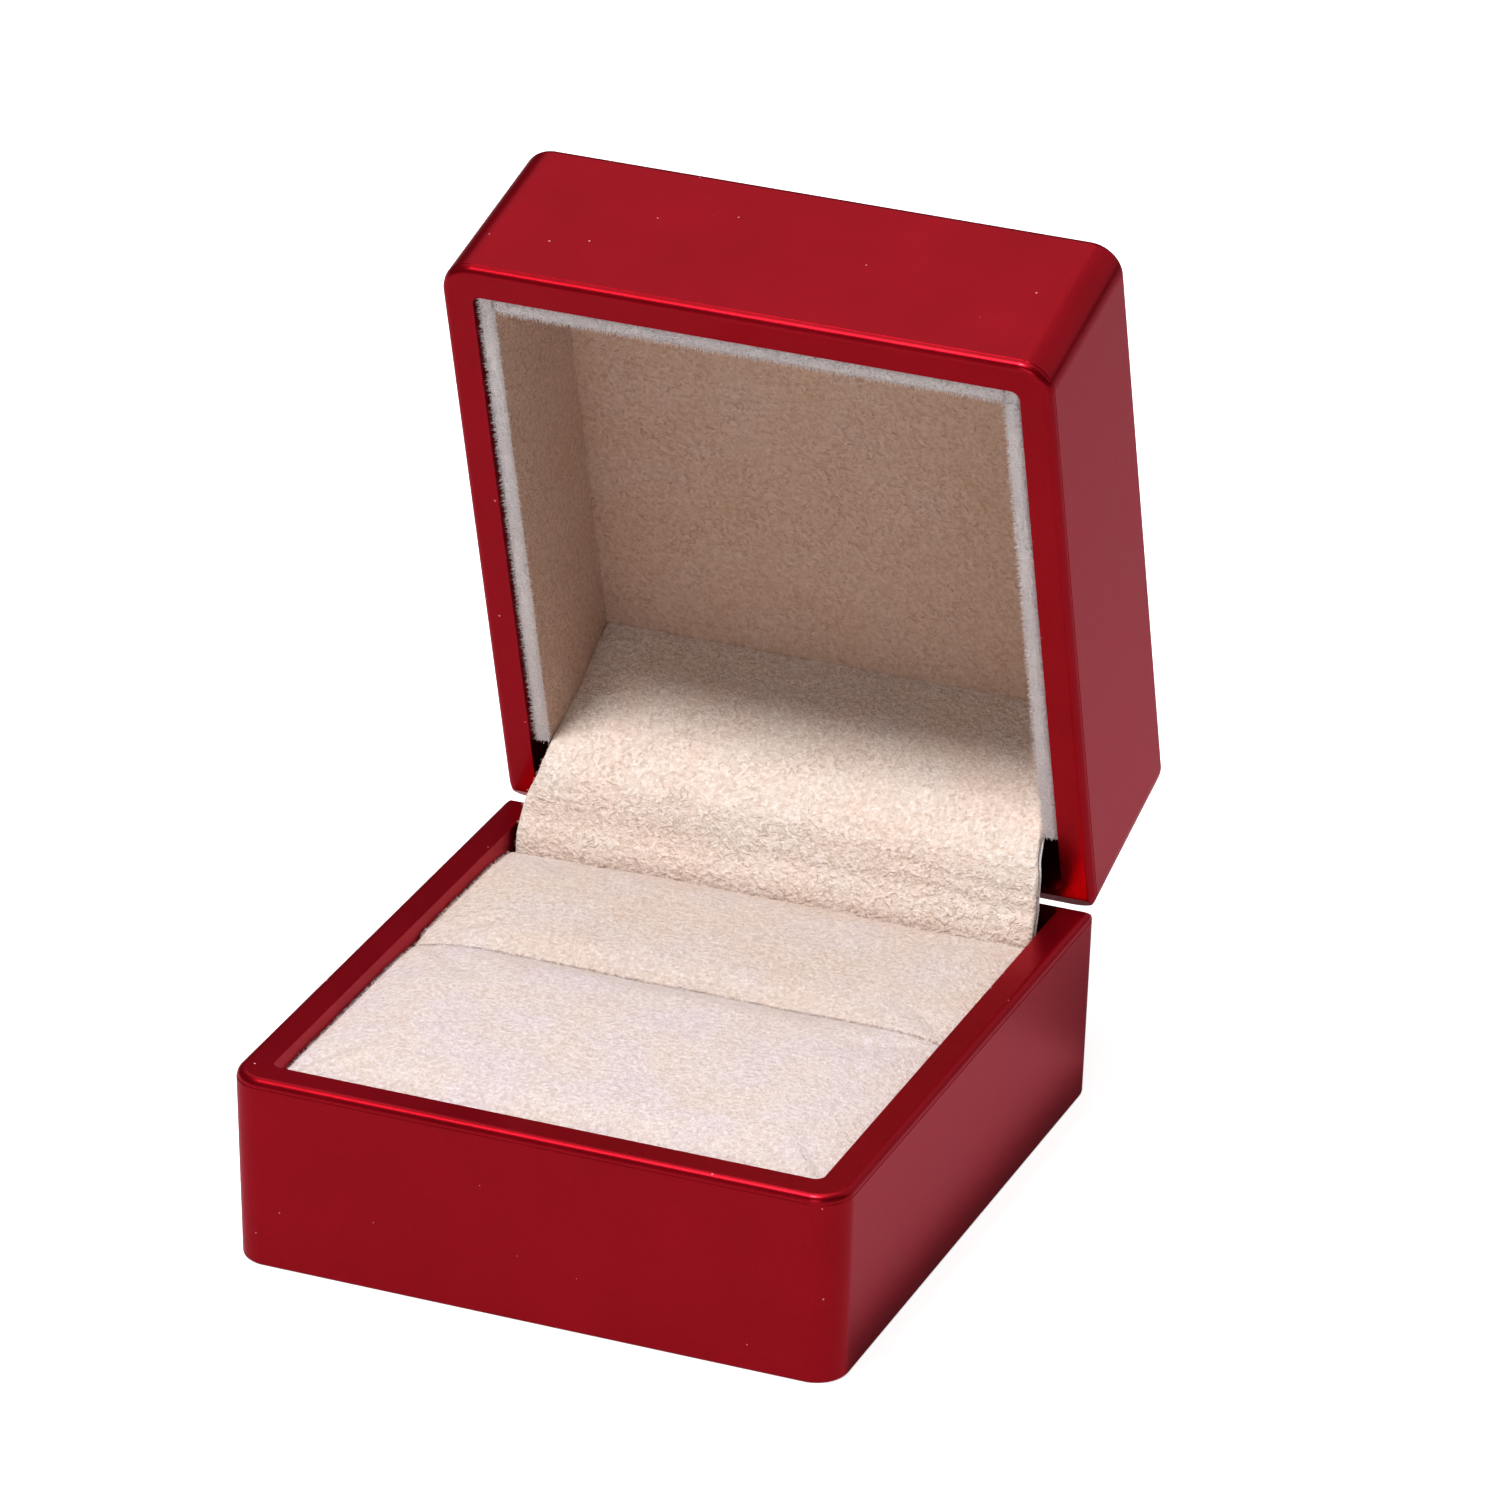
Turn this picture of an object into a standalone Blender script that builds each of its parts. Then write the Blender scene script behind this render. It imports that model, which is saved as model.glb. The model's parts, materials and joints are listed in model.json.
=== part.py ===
"""Ring box: a lacquered base and lid, velvet ring pads, a lined lid and a sprung steel hinge.

Frame: metres, +Z up, origin at the centre of the base's underside. The front faces -Y.
The lid stands open at its stop. Lid pieces are drawn as they lie when the box is shut and
hang on the empty "lid_swing", which sits on the hinge axis and turns them open.
"""

import math

import bmesh
import bpy
from mathutils import Matrix, Vector

MM = 0.001

# Shells
WIDTH = 60.0 * MM
DEPTH = 65.1 * MM
BASE_HEIGHT = 19.1 * MM
LID_HEIGHT = 20.2 * MM
WALL = 3.16 * MM
DRAFT = math.radians(1.055)
CORNER_RADIUS = 3.16 * MM
RIM_FILLET = 1.1 * MM
LID_TOP_FILLET = 1.1 * MM
BASE_FOOT_CHAMFER = 0.3 * MM
CAVITY_CORNER_RADIUS = 0.9 * MM
BASE_FLOOR = 2.5 * MM
LID_CEILING = 2.5 * MM

# Hinge axis and travel
SHUT_GAP = 0.3 * MM
AXIS_Y = 30.56 * MM
AXIS_Z = 19.5 * MM
OPEN_ANGLE = math.radians(74.9)

# Rear reliefs, which let the lid swing back: each slopes by half the opening angle
BASE_RELIEF = 2.8 * MM
LID_RELIEF = 2.44 * MM

# Clearances
GAP = 0.3 * MM
PIN_CLEARANCE = 0.05 * MM
CUT_OVERRUN = 2.0 * MM
SAME_PLACE = 0.001 * MM

# Ring pads
PAD_BOARD_THICKNESS = 1.2 * MM
PAD_HALF_WIDTH = 26.35 * MM
PAD_FRONT_Y = -28.95 * MM
PAD_SLIT_Y = 1.3 * MM
PAD_REAR_Y = 23.4 * MM
PAD_TOP = 18.3 * MM
PAD_CROWN = 0.6 * MM
PAD_CROWN_INSET = 5.0 * MM
PAD_EDGE_RADIUS = 1.8 * MM
VELVET = 0.5 * MM

# Lid lining
LINER_RECESS = 0.6 * MM
LINER_OUTER_X = 26.3 * MM
LINER_OUTER_Y = 28.75 * MM
LINER_BOARD = 0.6 * MM
LINER_VELVET = 0.55 * MM
LINER_REAR_Y = 23.6 * MM
PANEL_BOARD = 0.7 * MM
PANEL_VELVET_FACE = 15.9 * MM

# Curtain over the hinge
CURTAIN_VELVET = 0.6 * MM
CURTAIN_BACKING = 0.3 * MM
CURTAIN_CARD = 0.6 * MM
CURTAIN_LAYER_GAP = 0.2 * MM
CURTAIN_BASE_HALF_WIDTH = 26.0 * MM
CURTAIN_LID_HALF_WIDTH = 24.4 * MM
CURTAIN_RIM_FROM_REAR = 9.0 * MM
CURTAIN_PANEL_FROM_REAR = 12.2 * MM
CURTAIN_TAIL_Z = 6.0 * MM
CURTAIN_BACK_Y = 23.75 * MM

# Hinge hardware
KNUCKLE_RADIUS = 1.2 * MM
PIN_RADIUS = 0.6 * MM
PIN_HALF_LENGTH = 15.3 * MM
KNUCKLE_OUTER_X = 15.0 * MM
KNUCKLE_INNER_X = 5.0 * MM
NOTCH_HALF_WIDTH = 15.6 * MM
NOTCH_CLEARANCE = 0.4 * MM
LEAF = 0.7 * MM
LEAF_BACK_Y = 28.9 * MM
LEAF_HALF_WIDTH = 14.0 * MM
LEAF_HEIGHT = 10.5 * MM
CAM_FLAT = 1.08 * MM
SCREW_X = 9.5 * MM
SCREW_HEAD_RADIUS = 1.8 * MM
SCREW_HEAD_HEIGHT = 1.0 * MM
SCREW_SHANK_RADIUS = 0.8 * MM
SCREW_REACH = 2.1 * MM
SCREW_FROM_AXIS = 7.0 * MM
RIVET_X = 3.5 * MM
RIVET_FROM_AXIS = 8.5 * MM
RIVET_HEAD_RADIUS = 1.2 * MM
RIVET_HEAD_HEIGHT = 0.6 * MM
RIVET_SHANK_RADIUS = 0.6 * MM

# Snap spring
SPRING = 0.35 * MM
SPRING_BACK_Y = 27.95 * MM
SPRING_FOOT_Z = 8.5 * MM
SPRING_BEND_Z = 18.25 * MM
SPRING_TIP_Y = 28.95 * MM
SPRING_TIP_Z = 19.6 * MM
SPRING_HALF_WIDTH = 13.2 * MM
SPRING_STEM_HALF_WIDTH = 6.5 * MM
SPRING_WEB_Z = 15.0 * MM
SPRING_FORK_Z = 17.8 * MM
SPRING_FORK_HALF_WIDTH = 5.6 * MM

CORNER_SEGMENTS = 8
FILLET_SEGMENTS = 5
ROUND_SIDES = 24
SMOOTH_ANGLE = math.radians(35)

SHUT_RIM_Z = BASE_HEIGHT + SHUT_GAP
AXIS = Vector((0.0, AXIS_Y, AXIS_Z))
TURN_OPEN = (
    Matrix.Translation(AXIS)
    @ Matrix.Rotation(-OPEN_ANGLE, 4, "X")
    @ Matrix.Translation(-AXIS)
)


# ---------------------------------------------------------------- scene and materials


def clear_scene():
    """Remove every object of the start-up scene."""
    for obj in list(bpy.data.objects):
        bpy.data.objects.remove(obj, do_unlink=True)


def make_material(name, colour, roughness, metallic=0.0):
    """Return a Principled material with one colour, roughness and metallic value."""
    material = bpy.data.materials.new(name)
    material.use_nodes = True
    shader = material.node_tree.nodes["Principled BSDF"]
    shader.inputs["Base Color"].default_value = (*colour, 1.0)
    shader.inputs["Roughness"].default_value = roughness
    shader.inputs["Metallic"].default_value = metallic
    material.diffuse_color = (*colour, 1.0)
    return material


def add_object(name, bm, material, swing=None):
    """Make an object of a bmesh; a lid piece hangs on the swing empty, its origin on the axis."""
    if swing:
        bmesh.ops.translate(bm, verts=bm.verts, vec=-AXIS)
    mesh = bpy.data.meshes.new(name)
    bm.to_mesh(mesh)
    bm.free()
    mesh.shade_smooth()
    mesh.set_sharp_from_angle(angle=SMOOTH_ANGLE)
    obj = bpy.data.objects.new(name, mesh)
    bpy.context.scene.collection.objects.link(obj)
    if material:
        obj.data.materials.append(material)
    obj.parent = swing
    return obj


def combine(obj, bm, operation, swing=None):
    """Join a tool shape to an object, or cut it out, with an exact Boolean."""
    tool = add_object(f"{obj.name}_{operation.lower()}_tool", bm, None, swing)
    tool.hide_render = True
    tool.display_type = "WIRE"
    boolean = obj.modifiers.new(operation.title(), "BOOLEAN")
    boolean.operation = operation
    boolean.solver = "EXACT"
    boolean.object = tool


# ---------------------------------------------------------------- basic shapes


def box(low, high):
    """Return a bmesh box between two opposite corners."""
    low = Vector(low)
    high = Vector(high)
    bm = bmesh.new()
    bmesh.ops.create_cube(bm, size=1.0)
    bmesh.ops.scale(bm, verts=bm.verts, vec=high - low)
    bmesh.ops.translate(bm, verts=bm.verts, vec=(low + high) / 2)
    return bm


def bevel(bm, edges, radius, segments):
    """Round the given edges."""
    bmesh.ops.bevel(
        bm,
        geom=edges,
        offset=radius,
        offset_type="OFFSET",
        segments=segments,
        profile=0.5,
        affect="EDGES",
        clamp_overlap=True,
        material=-1,
    )


def upright_edges(bm):
    """Return the edges that stand along Z."""
    return [e for e in bm.edges if abs(e.verts[0].co.z - e.verts[1].co.z) > MM]


def level_edges(bm, z):
    """Return the edges that lie in the level plane at z."""
    return [e for e in bm.edges if all(abs(v.co.z - z) < SAME_PLACE for v in e.verts)]


def drafted_slab(half_x, half_y, wide_z, narrow_z, corner_radius):
    """Return a round-cornered slab that narrows by the draft from wide_z to narrow_z."""
    low, high = sorted((wide_z, narrow_z))
    bm = box((-half_x, -half_y, low), (half_x, half_y, high))
    bevel(bm, upright_edges(bm), corner_radius, CORNER_SEGMENTS)
    inset = abs(narrow_z - wide_z) * math.tan(DRAFT)
    shrink = Vector(((half_x - inset) / half_x, (half_y - inset) / half_y, 1.0))
    far = [v for v in bm.verts if abs(v.co.z - narrow_z) < SAME_PLACE]
    bmesh.ops.scale(bm, verts=far, vec=shrink)
    return bm


def profile_prism(points, low_x, high_x):
    """Return a prism: a (y, z) outline extruded from low_x to high_x."""
    bm = bmesh.new()
    corners = [bm.verts.new((low_x, y, z)) for y, z in points]
    face = bm.faces.new(corners)
    swept = bmesh.ops.extrude_face_region(bm, geom=[face])
    moved = [v for v in swept["geom"] if isinstance(v, bmesh.types.BMVert)]
    bmesh.ops.translate(bm, verts=moved, vec=(high_x - low_x, 0.0, 0.0))
    bmesh.ops.recalc_face_normals(bm, faces=bm.faces)
    return bm


def rod(axis, radius, centre, length):
    """Return a cylinder of the given length along axis "X" or "Y" about its centre."""
    bm = bmesh.new()
    bmesh.ops.create_cone(
        bm,
        cap_ends=True,
        segments=ROUND_SIDES,
        radius1=radius,
        radius2=radius,
        depth=length,
    )
    turn = Matrix.Rotation(math.pi / 2, 4, "Y" if axis == "X" else "X")
    bmesh.ops.transform(bm, matrix=Matrix.Translation(centre) @ turn, verts=bm.verts)
    return bm


# ---------------------------------------------------------------- shells


def relief_cutter(rim_z, length, upward):
    """Return the wedge that slopes a rear rim away by half the opening angle."""
    rear = DEPTH / 2
    reach = length + CUT_OVERRUN
    drop = reach * math.tan(OPEN_ANGLE / 2) * upward
    beyond = CUT_OVERRUN * upward
    outline = [
        (rear - length, rim_z),
        (rear + CUT_OVERRUN, rim_z + drop),
        (rear + CUT_OVERRUN, rim_z - beyond),
        (rear - length, rim_z - beyond),
    ]
    return profile_prism(outline, -WIDTH, WIDTH)


def notch_cutter(low_z, high_z):
    """Return the block that opens the rear wall for the hinge."""
    front_y = DEPTH / 2 - WALL - CUT_OVERRUN
    rear_y = DEPTH / 2 + CUT_OVERRUN
    return box((-NOTCH_HALF_WIDTH, front_y, low_z), (NOTCH_HALF_WIDTH, rear_y, high_z))


def screw_hole_cutter(x, z):
    """Return the pilot hole of a hinge screw in a rear wall."""
    radius = SCREW_SHANK_RADIUS + GAP
    front_y = DEPTH / 2 - WALL - CUT_OVERRUN
    end_y = LEAF_BACK_Y + SCREW_REACH + GAP
    return rod("Y", radius, (x, (front_y + end_y) / 2, z), end_y - front_y)


def make_base_shell(lacquer):
    """Base shell: a drafted tray with a filleted rim, a rear relief and a hinge notch."""
    outer = drafted_slab(WIDTH / 2, DEPTH / 2, BASE_HEIGHT, 0.0, CORNER_RADIUS)
    bevel(outer, level_edges(outer, BASE_HEIGHT), RIM_FILLET, FILLET_SEGMENTS)
    bevel(outer, level_edges(outer, 0.0), BASE_FOOT_CHAMFER, 1)
    shell = add_object("base_shell", outer, lacquer)

    top = BASE_HEIGHT + CUT_OVERRUN
    spread = CUT_OVERRUN * math.tan(DRAFT) - WALL
    cavity = drafted_slab(
        WIDTH / 2 + spread, DEPTH / 2 + spread, top, BASE_FLOOR, CAVITY_CORNER_RADIUS
    )
    combine(shell, cavity, "DIFFERENCE")
    combine(shell, relief_cutter(BASE_HEIGHT, BASE_RELIEF, -1), "DIFFERENCE")
    notch = notch_cutter(AXIS_Z - KNUCKLE_RADIUS - NOTCH_CLEARANCE, top)
    combine(shell, notch, "DIFFERENCE")
    for x in (-SCREW_X, SCREW_X):
        combine(shell, screw_hole_cutter(x, AXIS_Z - SCREW_FROM_AXIS), "DIFFERENCE")


def make_lid_shell(lacquer, swing):
    """Lid shell: the base's twin, upside down and with a filleted top."""
    top = SHUT_RIM_Z + LID_HEIGHT
    outer = drafted_slab(WIDTH / 2, DEPTH / 2, SHUT_RIM_Z, top, CORNER_RADIUS)
    bevel(outer, level_edges(outer, SHUT_RIM_Z), RIM_FILLET, FILLET_SEGMENTS)
    bevel(outer, level_edges(outer, top), LID_TOP_FILLET, FILLET_SEGMENTS)
    shell = add_object("lid_shell", outer, lacquer, swing)

    mouth = SHUT_RIM_Z - CUT_OVERRUN
    spread = CUT_OVERRUN * math.tan(DRAFT) - WALL
    cavity = drafted_slab(
        WIDTH / 2 + spread, DEPTH / 2 + spread, mouth, top - LID_CEILING, CAVITY_CORNER_RADIUS
    )
    combine(shell, cavity, "DIFFERENCE", swing)
    combine(shell, relief_cutter(SHUT_RIM_Z, LID_RELIEF, 1), "DIFFERENCE", swing)
    notch = notch_cutter(mouth, AXIS_Z + KNUCKLE_RADIUS + NOTCH_CLEARANCE)
    combine(shell, notch, "DIFFERENCE", swing)
    for x in (-SCREW_X, SCREW_X):
        hole = screw_hole_cutter(x, AXIS_Z + SCREW_FROM_AXIS)
        combine(shell, hole, "DIFFERENCE", swing)


# ---------------------------------------------------------------- ring pads


def pad_form(low_y, high_y, low_z, inset):
    """Return a crowned pad block, drawn in by inset on its sides and top."""
    bm = box(
        (-PAD_HALF_WIDTH + inset, low_y + inset, low_z),
        (PAD_HALF_WIDTH - inset, high_y - inset, PAD_TOP - inset),
    )
    bevel(bm, upright_edges(bm), PAD_EDGE_RADIUS - inset, FILLET_SEGMENTS)
    bevel(bm, level_edges(bm, PAD_TOP - inset), PAD_EDGE_RADIUS - inset, FILLET_SEGMENTS)
    top = max(bm.faces, key=lambda face: face.calc_center_median().z)
    raised = bmesh.ops.extrude_face_region(bm, geom=[top])
    bmesh.ops.delete(bm, geom=[top], context="FACES_ONLY")
    crown = [v for v in raised["geom"] if isinstance(v, bmesh.types.BMVert)]
    middle_y = (low_y + high_y) / 2
    half_y = (high_y - low_y) / 2
    shrink = Vector((1 - PAD_CROWN_INSET / PAD_HALF_WIDTH, 1 - PAD_CROWN_INSET / half_y, 1.0))
    centre = Matrix.Translation((0.0, -middle_y, 0.0))
    bmesh.ops.scale(bm, verts=crown, vec=shrink, space=centre)
    bmesh.ops.translate(bm, verts=crown, vec=(0.0, 0.0, PAD_CROWN))
    return bm


def make_pad(name, low_y, high_y, foam_material, velvet_material):
    """One ring pad: a foam block under a velvet cover that is open underneath."""
    low_z = BASE_FLOOR + PAD_BOARD_THICKNESS + 2 * GAP
    foam = pad_form(low_y, high_y, low_z, VELVET + GAP)
    add_object(f"{name}_foam", foam, foam_material)

    skin = pad_form(low_y, high_y, low_z, 0.0)
    under = [f for f in skin.faces if f.calc_center_median().z < low_z + SAME_PLACE]
    bmesh.ops.delete(skin, geom=under, context="FACES_ONLY")
    cover = add_object(f"{name}_cover", skin, velvet_material)
    wall = cover.modifiers.new("Cloth thickness", "SOLIDIFY")
    wall.thickness = VELVET
    wall.offset = -1.0


def make_pads(board_material, foam_material, velvet_material):
    """The board on the base's floor and the two pads that grip the ring between them."""
    low_z = BASE_FLOOR + GAP
    board = box(
        (-PAD_HALF_WIDTH, PAD_FRONT_Y, low_z),
        (PAD_HALF_WIDTH, -PAD_FRONT_Y, low_z + PAD_BOARD_THICKNESS),
    )
    bevel(board, upright_edges(board), CAVITY_CORNER_RADIUS, 3)
    add_object("pad_board", board, board_material)
    make_pad("front_pad", PAD_FRONT_Y, PAD_SLIT_Y - GAP / 2, foam_material, velvet_material)
    make_pad("rear_pad", PAD_SLIT_Y + GAP / 2, PAD_REAR_Y, foam_material, velvet_material)


# ---------------------------------------------------------------- lid lining


def make_side_liner(side, name, board_material, velvet_material, swing):
    """A side liner: a card with velvet on its inner face, folded over its rim edge."""
    rim_z = SHUT_RIM_Z + LINER_RECESS
    back_z = SHUT_RIM_Z + PANEL_VELVET_FACE - GAP
    front_y = -LINER_OUTER_Y
    outer = side * LINER_OUTER_X
    card_inner = outer - side * LINER_BOARD
    velvet_outer = card_inner - side * CURTAIN_LAYER_GAP
    velvet_inner = velvet_outer - side * LINER_VELVET
    card_z = rim_z + LINER_VELVET + CURTAIN_LAYER_GAP
    card = box(
        (min(outer, card_inner), front_y, card_z),
        (max(outer, card_inner), LINER_REAR_Y, back_z),
    )
    add_object(f"lid_{name}_liner_board", card, board_material, swing)

    cover = box(
        (min(outer, velvet_inner), front_y, rim_z),
        (max(outer, velvet_inner), LINER_REAR_Y, back_z),
    )
    liner = add_object(f"lid_{name}_liner_velvet", cover, velvet_material, swing)
    beyond = outer + side * CUT_OVERRUN
    card_room = box(
        (min(beyond, velvet_outer), front_y - CUT_OVERRUN, rim_z + LINER_VELVET),
        (max(beyond, velvet_outer), LINER_REAR_Y + CUT_OVERRUN, back_z + CUT_OVERRUN),
    )
    combine(liner, card_room, "DIFFERENCE", swing)


def make_front_liner(board_material, velvet_material, swing):
    """The front liner, which fits between the two side liners."""
    rim_z = SHUT_RIM_Z + LINER_RECESS
    back_z = SHUT_RIM_Z + PANEL_VELVET_FACE - GAP
    half = LINER_OUTER_X - LINER_BOARD - CURTAIN_LAYER_GAP - LINER_VELVET - GAP
    card_y = -LINER_OUTER_Y + LINER_BOARD
    velvet_y = card_y + CURTAIN_LAYER_GAP
    card_z = rim_z + LINER_VELVET + CURTAIN_LAYER_GAP
    card = box((-half, -LINER_OUTER_Y, card_z), (half, card_y, back_z))
    add_object("lid_front_liner_board", card, board_material, swing)

    inner_y = velvet_y + LINER_VELVET
    outline = [
        (-LINER_OUTER_Y, rim_z),
        (inner_y, rim_z),
        (inner_y, back_z),
        (velvet_y, back_z),
        (velvet_y, rim_z + LINER_VELVET),
        (-LINER_OUTER_Y, rim_z + LINER_VELVET),
    ]
    cover = profile_prism(outline, -half, half)
    add_object("lid_front_liner_velvet", cover, velvet_material, swing)


def make_lid_panel(board_material, velvet_material, swing):
    """The panel on the lid's ceiling: a board and its velvet face."""
    face_z = SHUT_RIM_Z + PANEL_VELVET_FACE
    board_z = face_z + LINER_VELVET + CURTAIN_LAYER_GAP
    half_y = LINER_OUTER_Y - GAP
    half_x = LINER_OUTER_X
    rear_y = LINER_REAR_Y
    velvet = box((-half_x, -half_y, face_z), (half_x, rear_y, face_z + LINER_VELVET))
    add_object("lid_panel_velvet", velvet, velvet_material, swing)
    board = box((-half_x, -half_y, board_z), (half_x, rear_y, board_z + PANEL_BOARD))
    add_object("lid_panel_board", board, board_material, swing)


# ---------------------------------------------------------------- curtain


def lid_point(from_rear, from_rim):
    """Return the open lid's (y, z) for a distance from its rear face and from its rim."""
    shut = Vector((0.0, DEPTH / 2 - from_rear, SHUT_RIM_Z + from_rim))
    opened = TURN_OPEN @ shut
    return opened.y, opened.z


def offset_path(path, distance):
    """Return the (y, z) path moved sideways, towards the rear of the box, with mitred bends."""
    points = [Vector(p) for p in path]
    moved = []
    for i, point in enumerate(points):
        before = (point - points[max(i - 1, 0)]).normalized()
        after = (points[min(i + 1, len(points) - 1)] - point).normalized()
        along = (before + after).normalized()
        side = Vector((along.y, -along.x))
        reference = after if after.length > 0 else before
        stretch = side.dot(Vector((reference.y, -reference.x)))
        moved.append(tuple(point + side * distance / stretch))
    return moved


def layer(path, half_widths, near, far):
    """Return a bent sheet along the path, from offset near to offset far behind it."""
    outline = offset_path(path, near) + offset_path(path, far)[::-1]
    widths = half_widths + half_widths[::-1]
    bm = profile_prism(outline, -1.0, 1.0)
    for vert in bm.verts:
        nearest = min(
            range(len(outline)),
            key=lambda i: (outline[i][0] - vert.co.y) ** 2 + (outline[i][1] - vert.co.z) ** 2,
        )
        vert.co.x = math.copysign(widths[nearest], vert.co.x)
    return bm


def make_curtain(velvet_material, cloth_material):
    """The curtain from behind the rear pad, over the hinge and up to the lid's panel."""
    wide = CURTAIN_BASE_HALF_WIDTH
    narrow = CURTAIN_LID_HALF_WIDTH
    stations = [
        (CURTAIN_BACK_Y, CURTAIN_TAIL_Z, wide),
        (CURTAIN_BACK_Y, PAD_TOP - PAD_EDGE_RADIUS, wide),
        (24.1 * MM, 18.9 * MM, wide),
        (24.9 * MM, 20.6 * MM, wide),
        (25.5 * MM, 22.8 * MM, (wide + narrow) / 2),
        (26.4 * MM, 24.7 * MM, narrow),
        (*lid_point(CURTAIN_RIM_FROM_REAR, 0.0), narrow),
        (*lid_point(CURTAIN_PANEL_FROM_REAR, PANEL_VELVET_FACE - 2 * GAP), narrow),
    ]
    path = [(y, z) for y, z, _ in stations]
    half_widths = [half_width for _, _, half_width in stations]
    velvet = layer(path, half_widths, 0.0, CURTAIN_VELVET)
    add_object("curtain_velvet", velvet, velvet_material)
    near = CURTAIN_VELVET + CURTAIN_LAYER_GAP
    backing = layer(path, half_widths, near, near + CURTAIN_BACKING)
    add_object("curtain_backing", backing, cloth_material)


def make_rear_card(board_material, swing):
    """The slanted card in the lid that holds the curtain's upper part in front of the hinge."""
    behind = CURTAIN_VELVET + CURTAIN_BACKING + 2 * CURTAIN_LAYER_GAP + GAP
    rear = DEPTH / 2
    low = (rear - CURTAIN_RIM_FROM_REAR, SHUT_RIM_Z + LINER_RECESS)
    high = (rear - CURTAIN_PANEL_FROM_REAR, SHUT_RIM_Z + PANEL_VELVET_FACE - 3 * GAP)
    face = offset_path([low, high], behind)
    back = offset_path([low, high], behind + CURTAIN_CARD)
    card = profile_prism(face + back[::-1], -CURTAIN_LID_HALF_WIDTH, CURTAIN_LID_HALF_WIDTH)
    add_object("lid_rear_card", card, board_material, swing)


# ---------------------------------------------------------------- hinge


def leaf_plate(upward, half_width, top_offset):
    """Return a leaf's upright plate; top_offset is its near edge's distance from the axis."""
    near = AXIS_Z + upward * top_offset
    far = AXIS_Z + upward * (KNUCKLE_RADIUS + LEAF_HEIGHT)
    low, high = sorted((near, far))
    return box((-half_width, LEAF_BACK_Y - LEAF, low), (half_width, LEAF_BACK_Y, high))


def leaf_flange(upward, low_x, high_x):
    """Return the flange that joins a leaf's plate to the rolled knuckle."""
    outer = AXIS_Z + upward * KNUCKLE_RADIUS
    inner = outer - upward * LEAF
    overlap = 0.1 * MM
    return box(
        (low_x, LEAF_BACK_Y - LEAF, min(outer, inner)),
        (high_x, AXIS_Y - overlap, max(outer, inner)),
    )


def knuckle(low_x, high_x):
    """Return a rolled knuckle between two places along the axis."""
    return rod("X", KNUCKLE_RADIUS, ((low_x + high_x) / 2, AXIS_Y, AXIS_Z), high_x - low_x)


def pin_bore():
    """Return the cutter of the pin's running bore."""
    radius = PIN_RADIUS + PIN_CLEARANCE
    return rod("X", radius, AXIS, 2 * (PIN_HALF_LENGTH + CUT_OVERRUN))


def leaf_hole(x, z, radius):
    """Return a hole cutter through a leaf or the spring."""
    return rod("Y", radius, (x, LEAF_BACK_Y, z), 4 * CUT_OVERRUN)


def make_base_leaf(steel):
    """Base leaf: a plate on the rear wall with one knuckle in the middle."""
    plate_offset = KNUCKLE_RADIUS + GAP
    leaf = add_object("base_hinge_leaf", leaf_plate(-1, LEAF_HALF_WIDTH, plate_offset), steel)
    neck = box(
        (-KNUCKLE_INNER_X, LEAF_BACK_Y - LEAF, AXIS_Z - 2 * KNUCKLE_RADIUS),
        (KNUCKLE_INNER_X, LEAF_BACK_Y, AXIS_Z - KNUCKLE_RADIUS + LEAF),
    )
    combine(leaf, neck, "UNION")
    combine(leaf, leaf_flange(-1, -KNUCKLE_INNER_X, KNUCKLE_INNER_X), "UNION")
    combine(leaf, knuckle(-KNUCKLE_INNER_X, KNUCKLE_INNER_X), "UNION")
    combine(leaf, pin_bore(), "DIFFERENCE")
    for side in (-1, 1):
        screw = leaf_hole(side * SCREW_X, AXIS_Z - SCREW_FROM_AXIS, SCREW_SHANK_RADIUS + GAP)
        combine(leaf, screw, "DIFFERENCE")
        rivet = leaf_hole(side * RIVET_X, AXIS_Z - RIVET_FROM_AXIS, RIVET_SHANK_RADIUS + GAP)
        combine(leaf, rivet, "DIFFERENCE")


def cam_flat_cutter(turn):
    """Return the block that planes a cam flat facing -Y, turned about the axis."""
    half = PIN_HALF_LENGTH + CUT_OVERRUN
    low = (-half, -KNUCKLE_RADIUS - CUT_OVERRUN, -PIN_RADIUS)
    high = (half, -CAM_FLAT, PIN_RADIUS)
    bm = box(low, high)
    matrix = Matrix.Translation(AXIS) @ Matrix.Rotation(turn, 4, "X")
    bmesh.ops.transform(bm, matrix=matrix, verts=bm.verts)
    return bm


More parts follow.
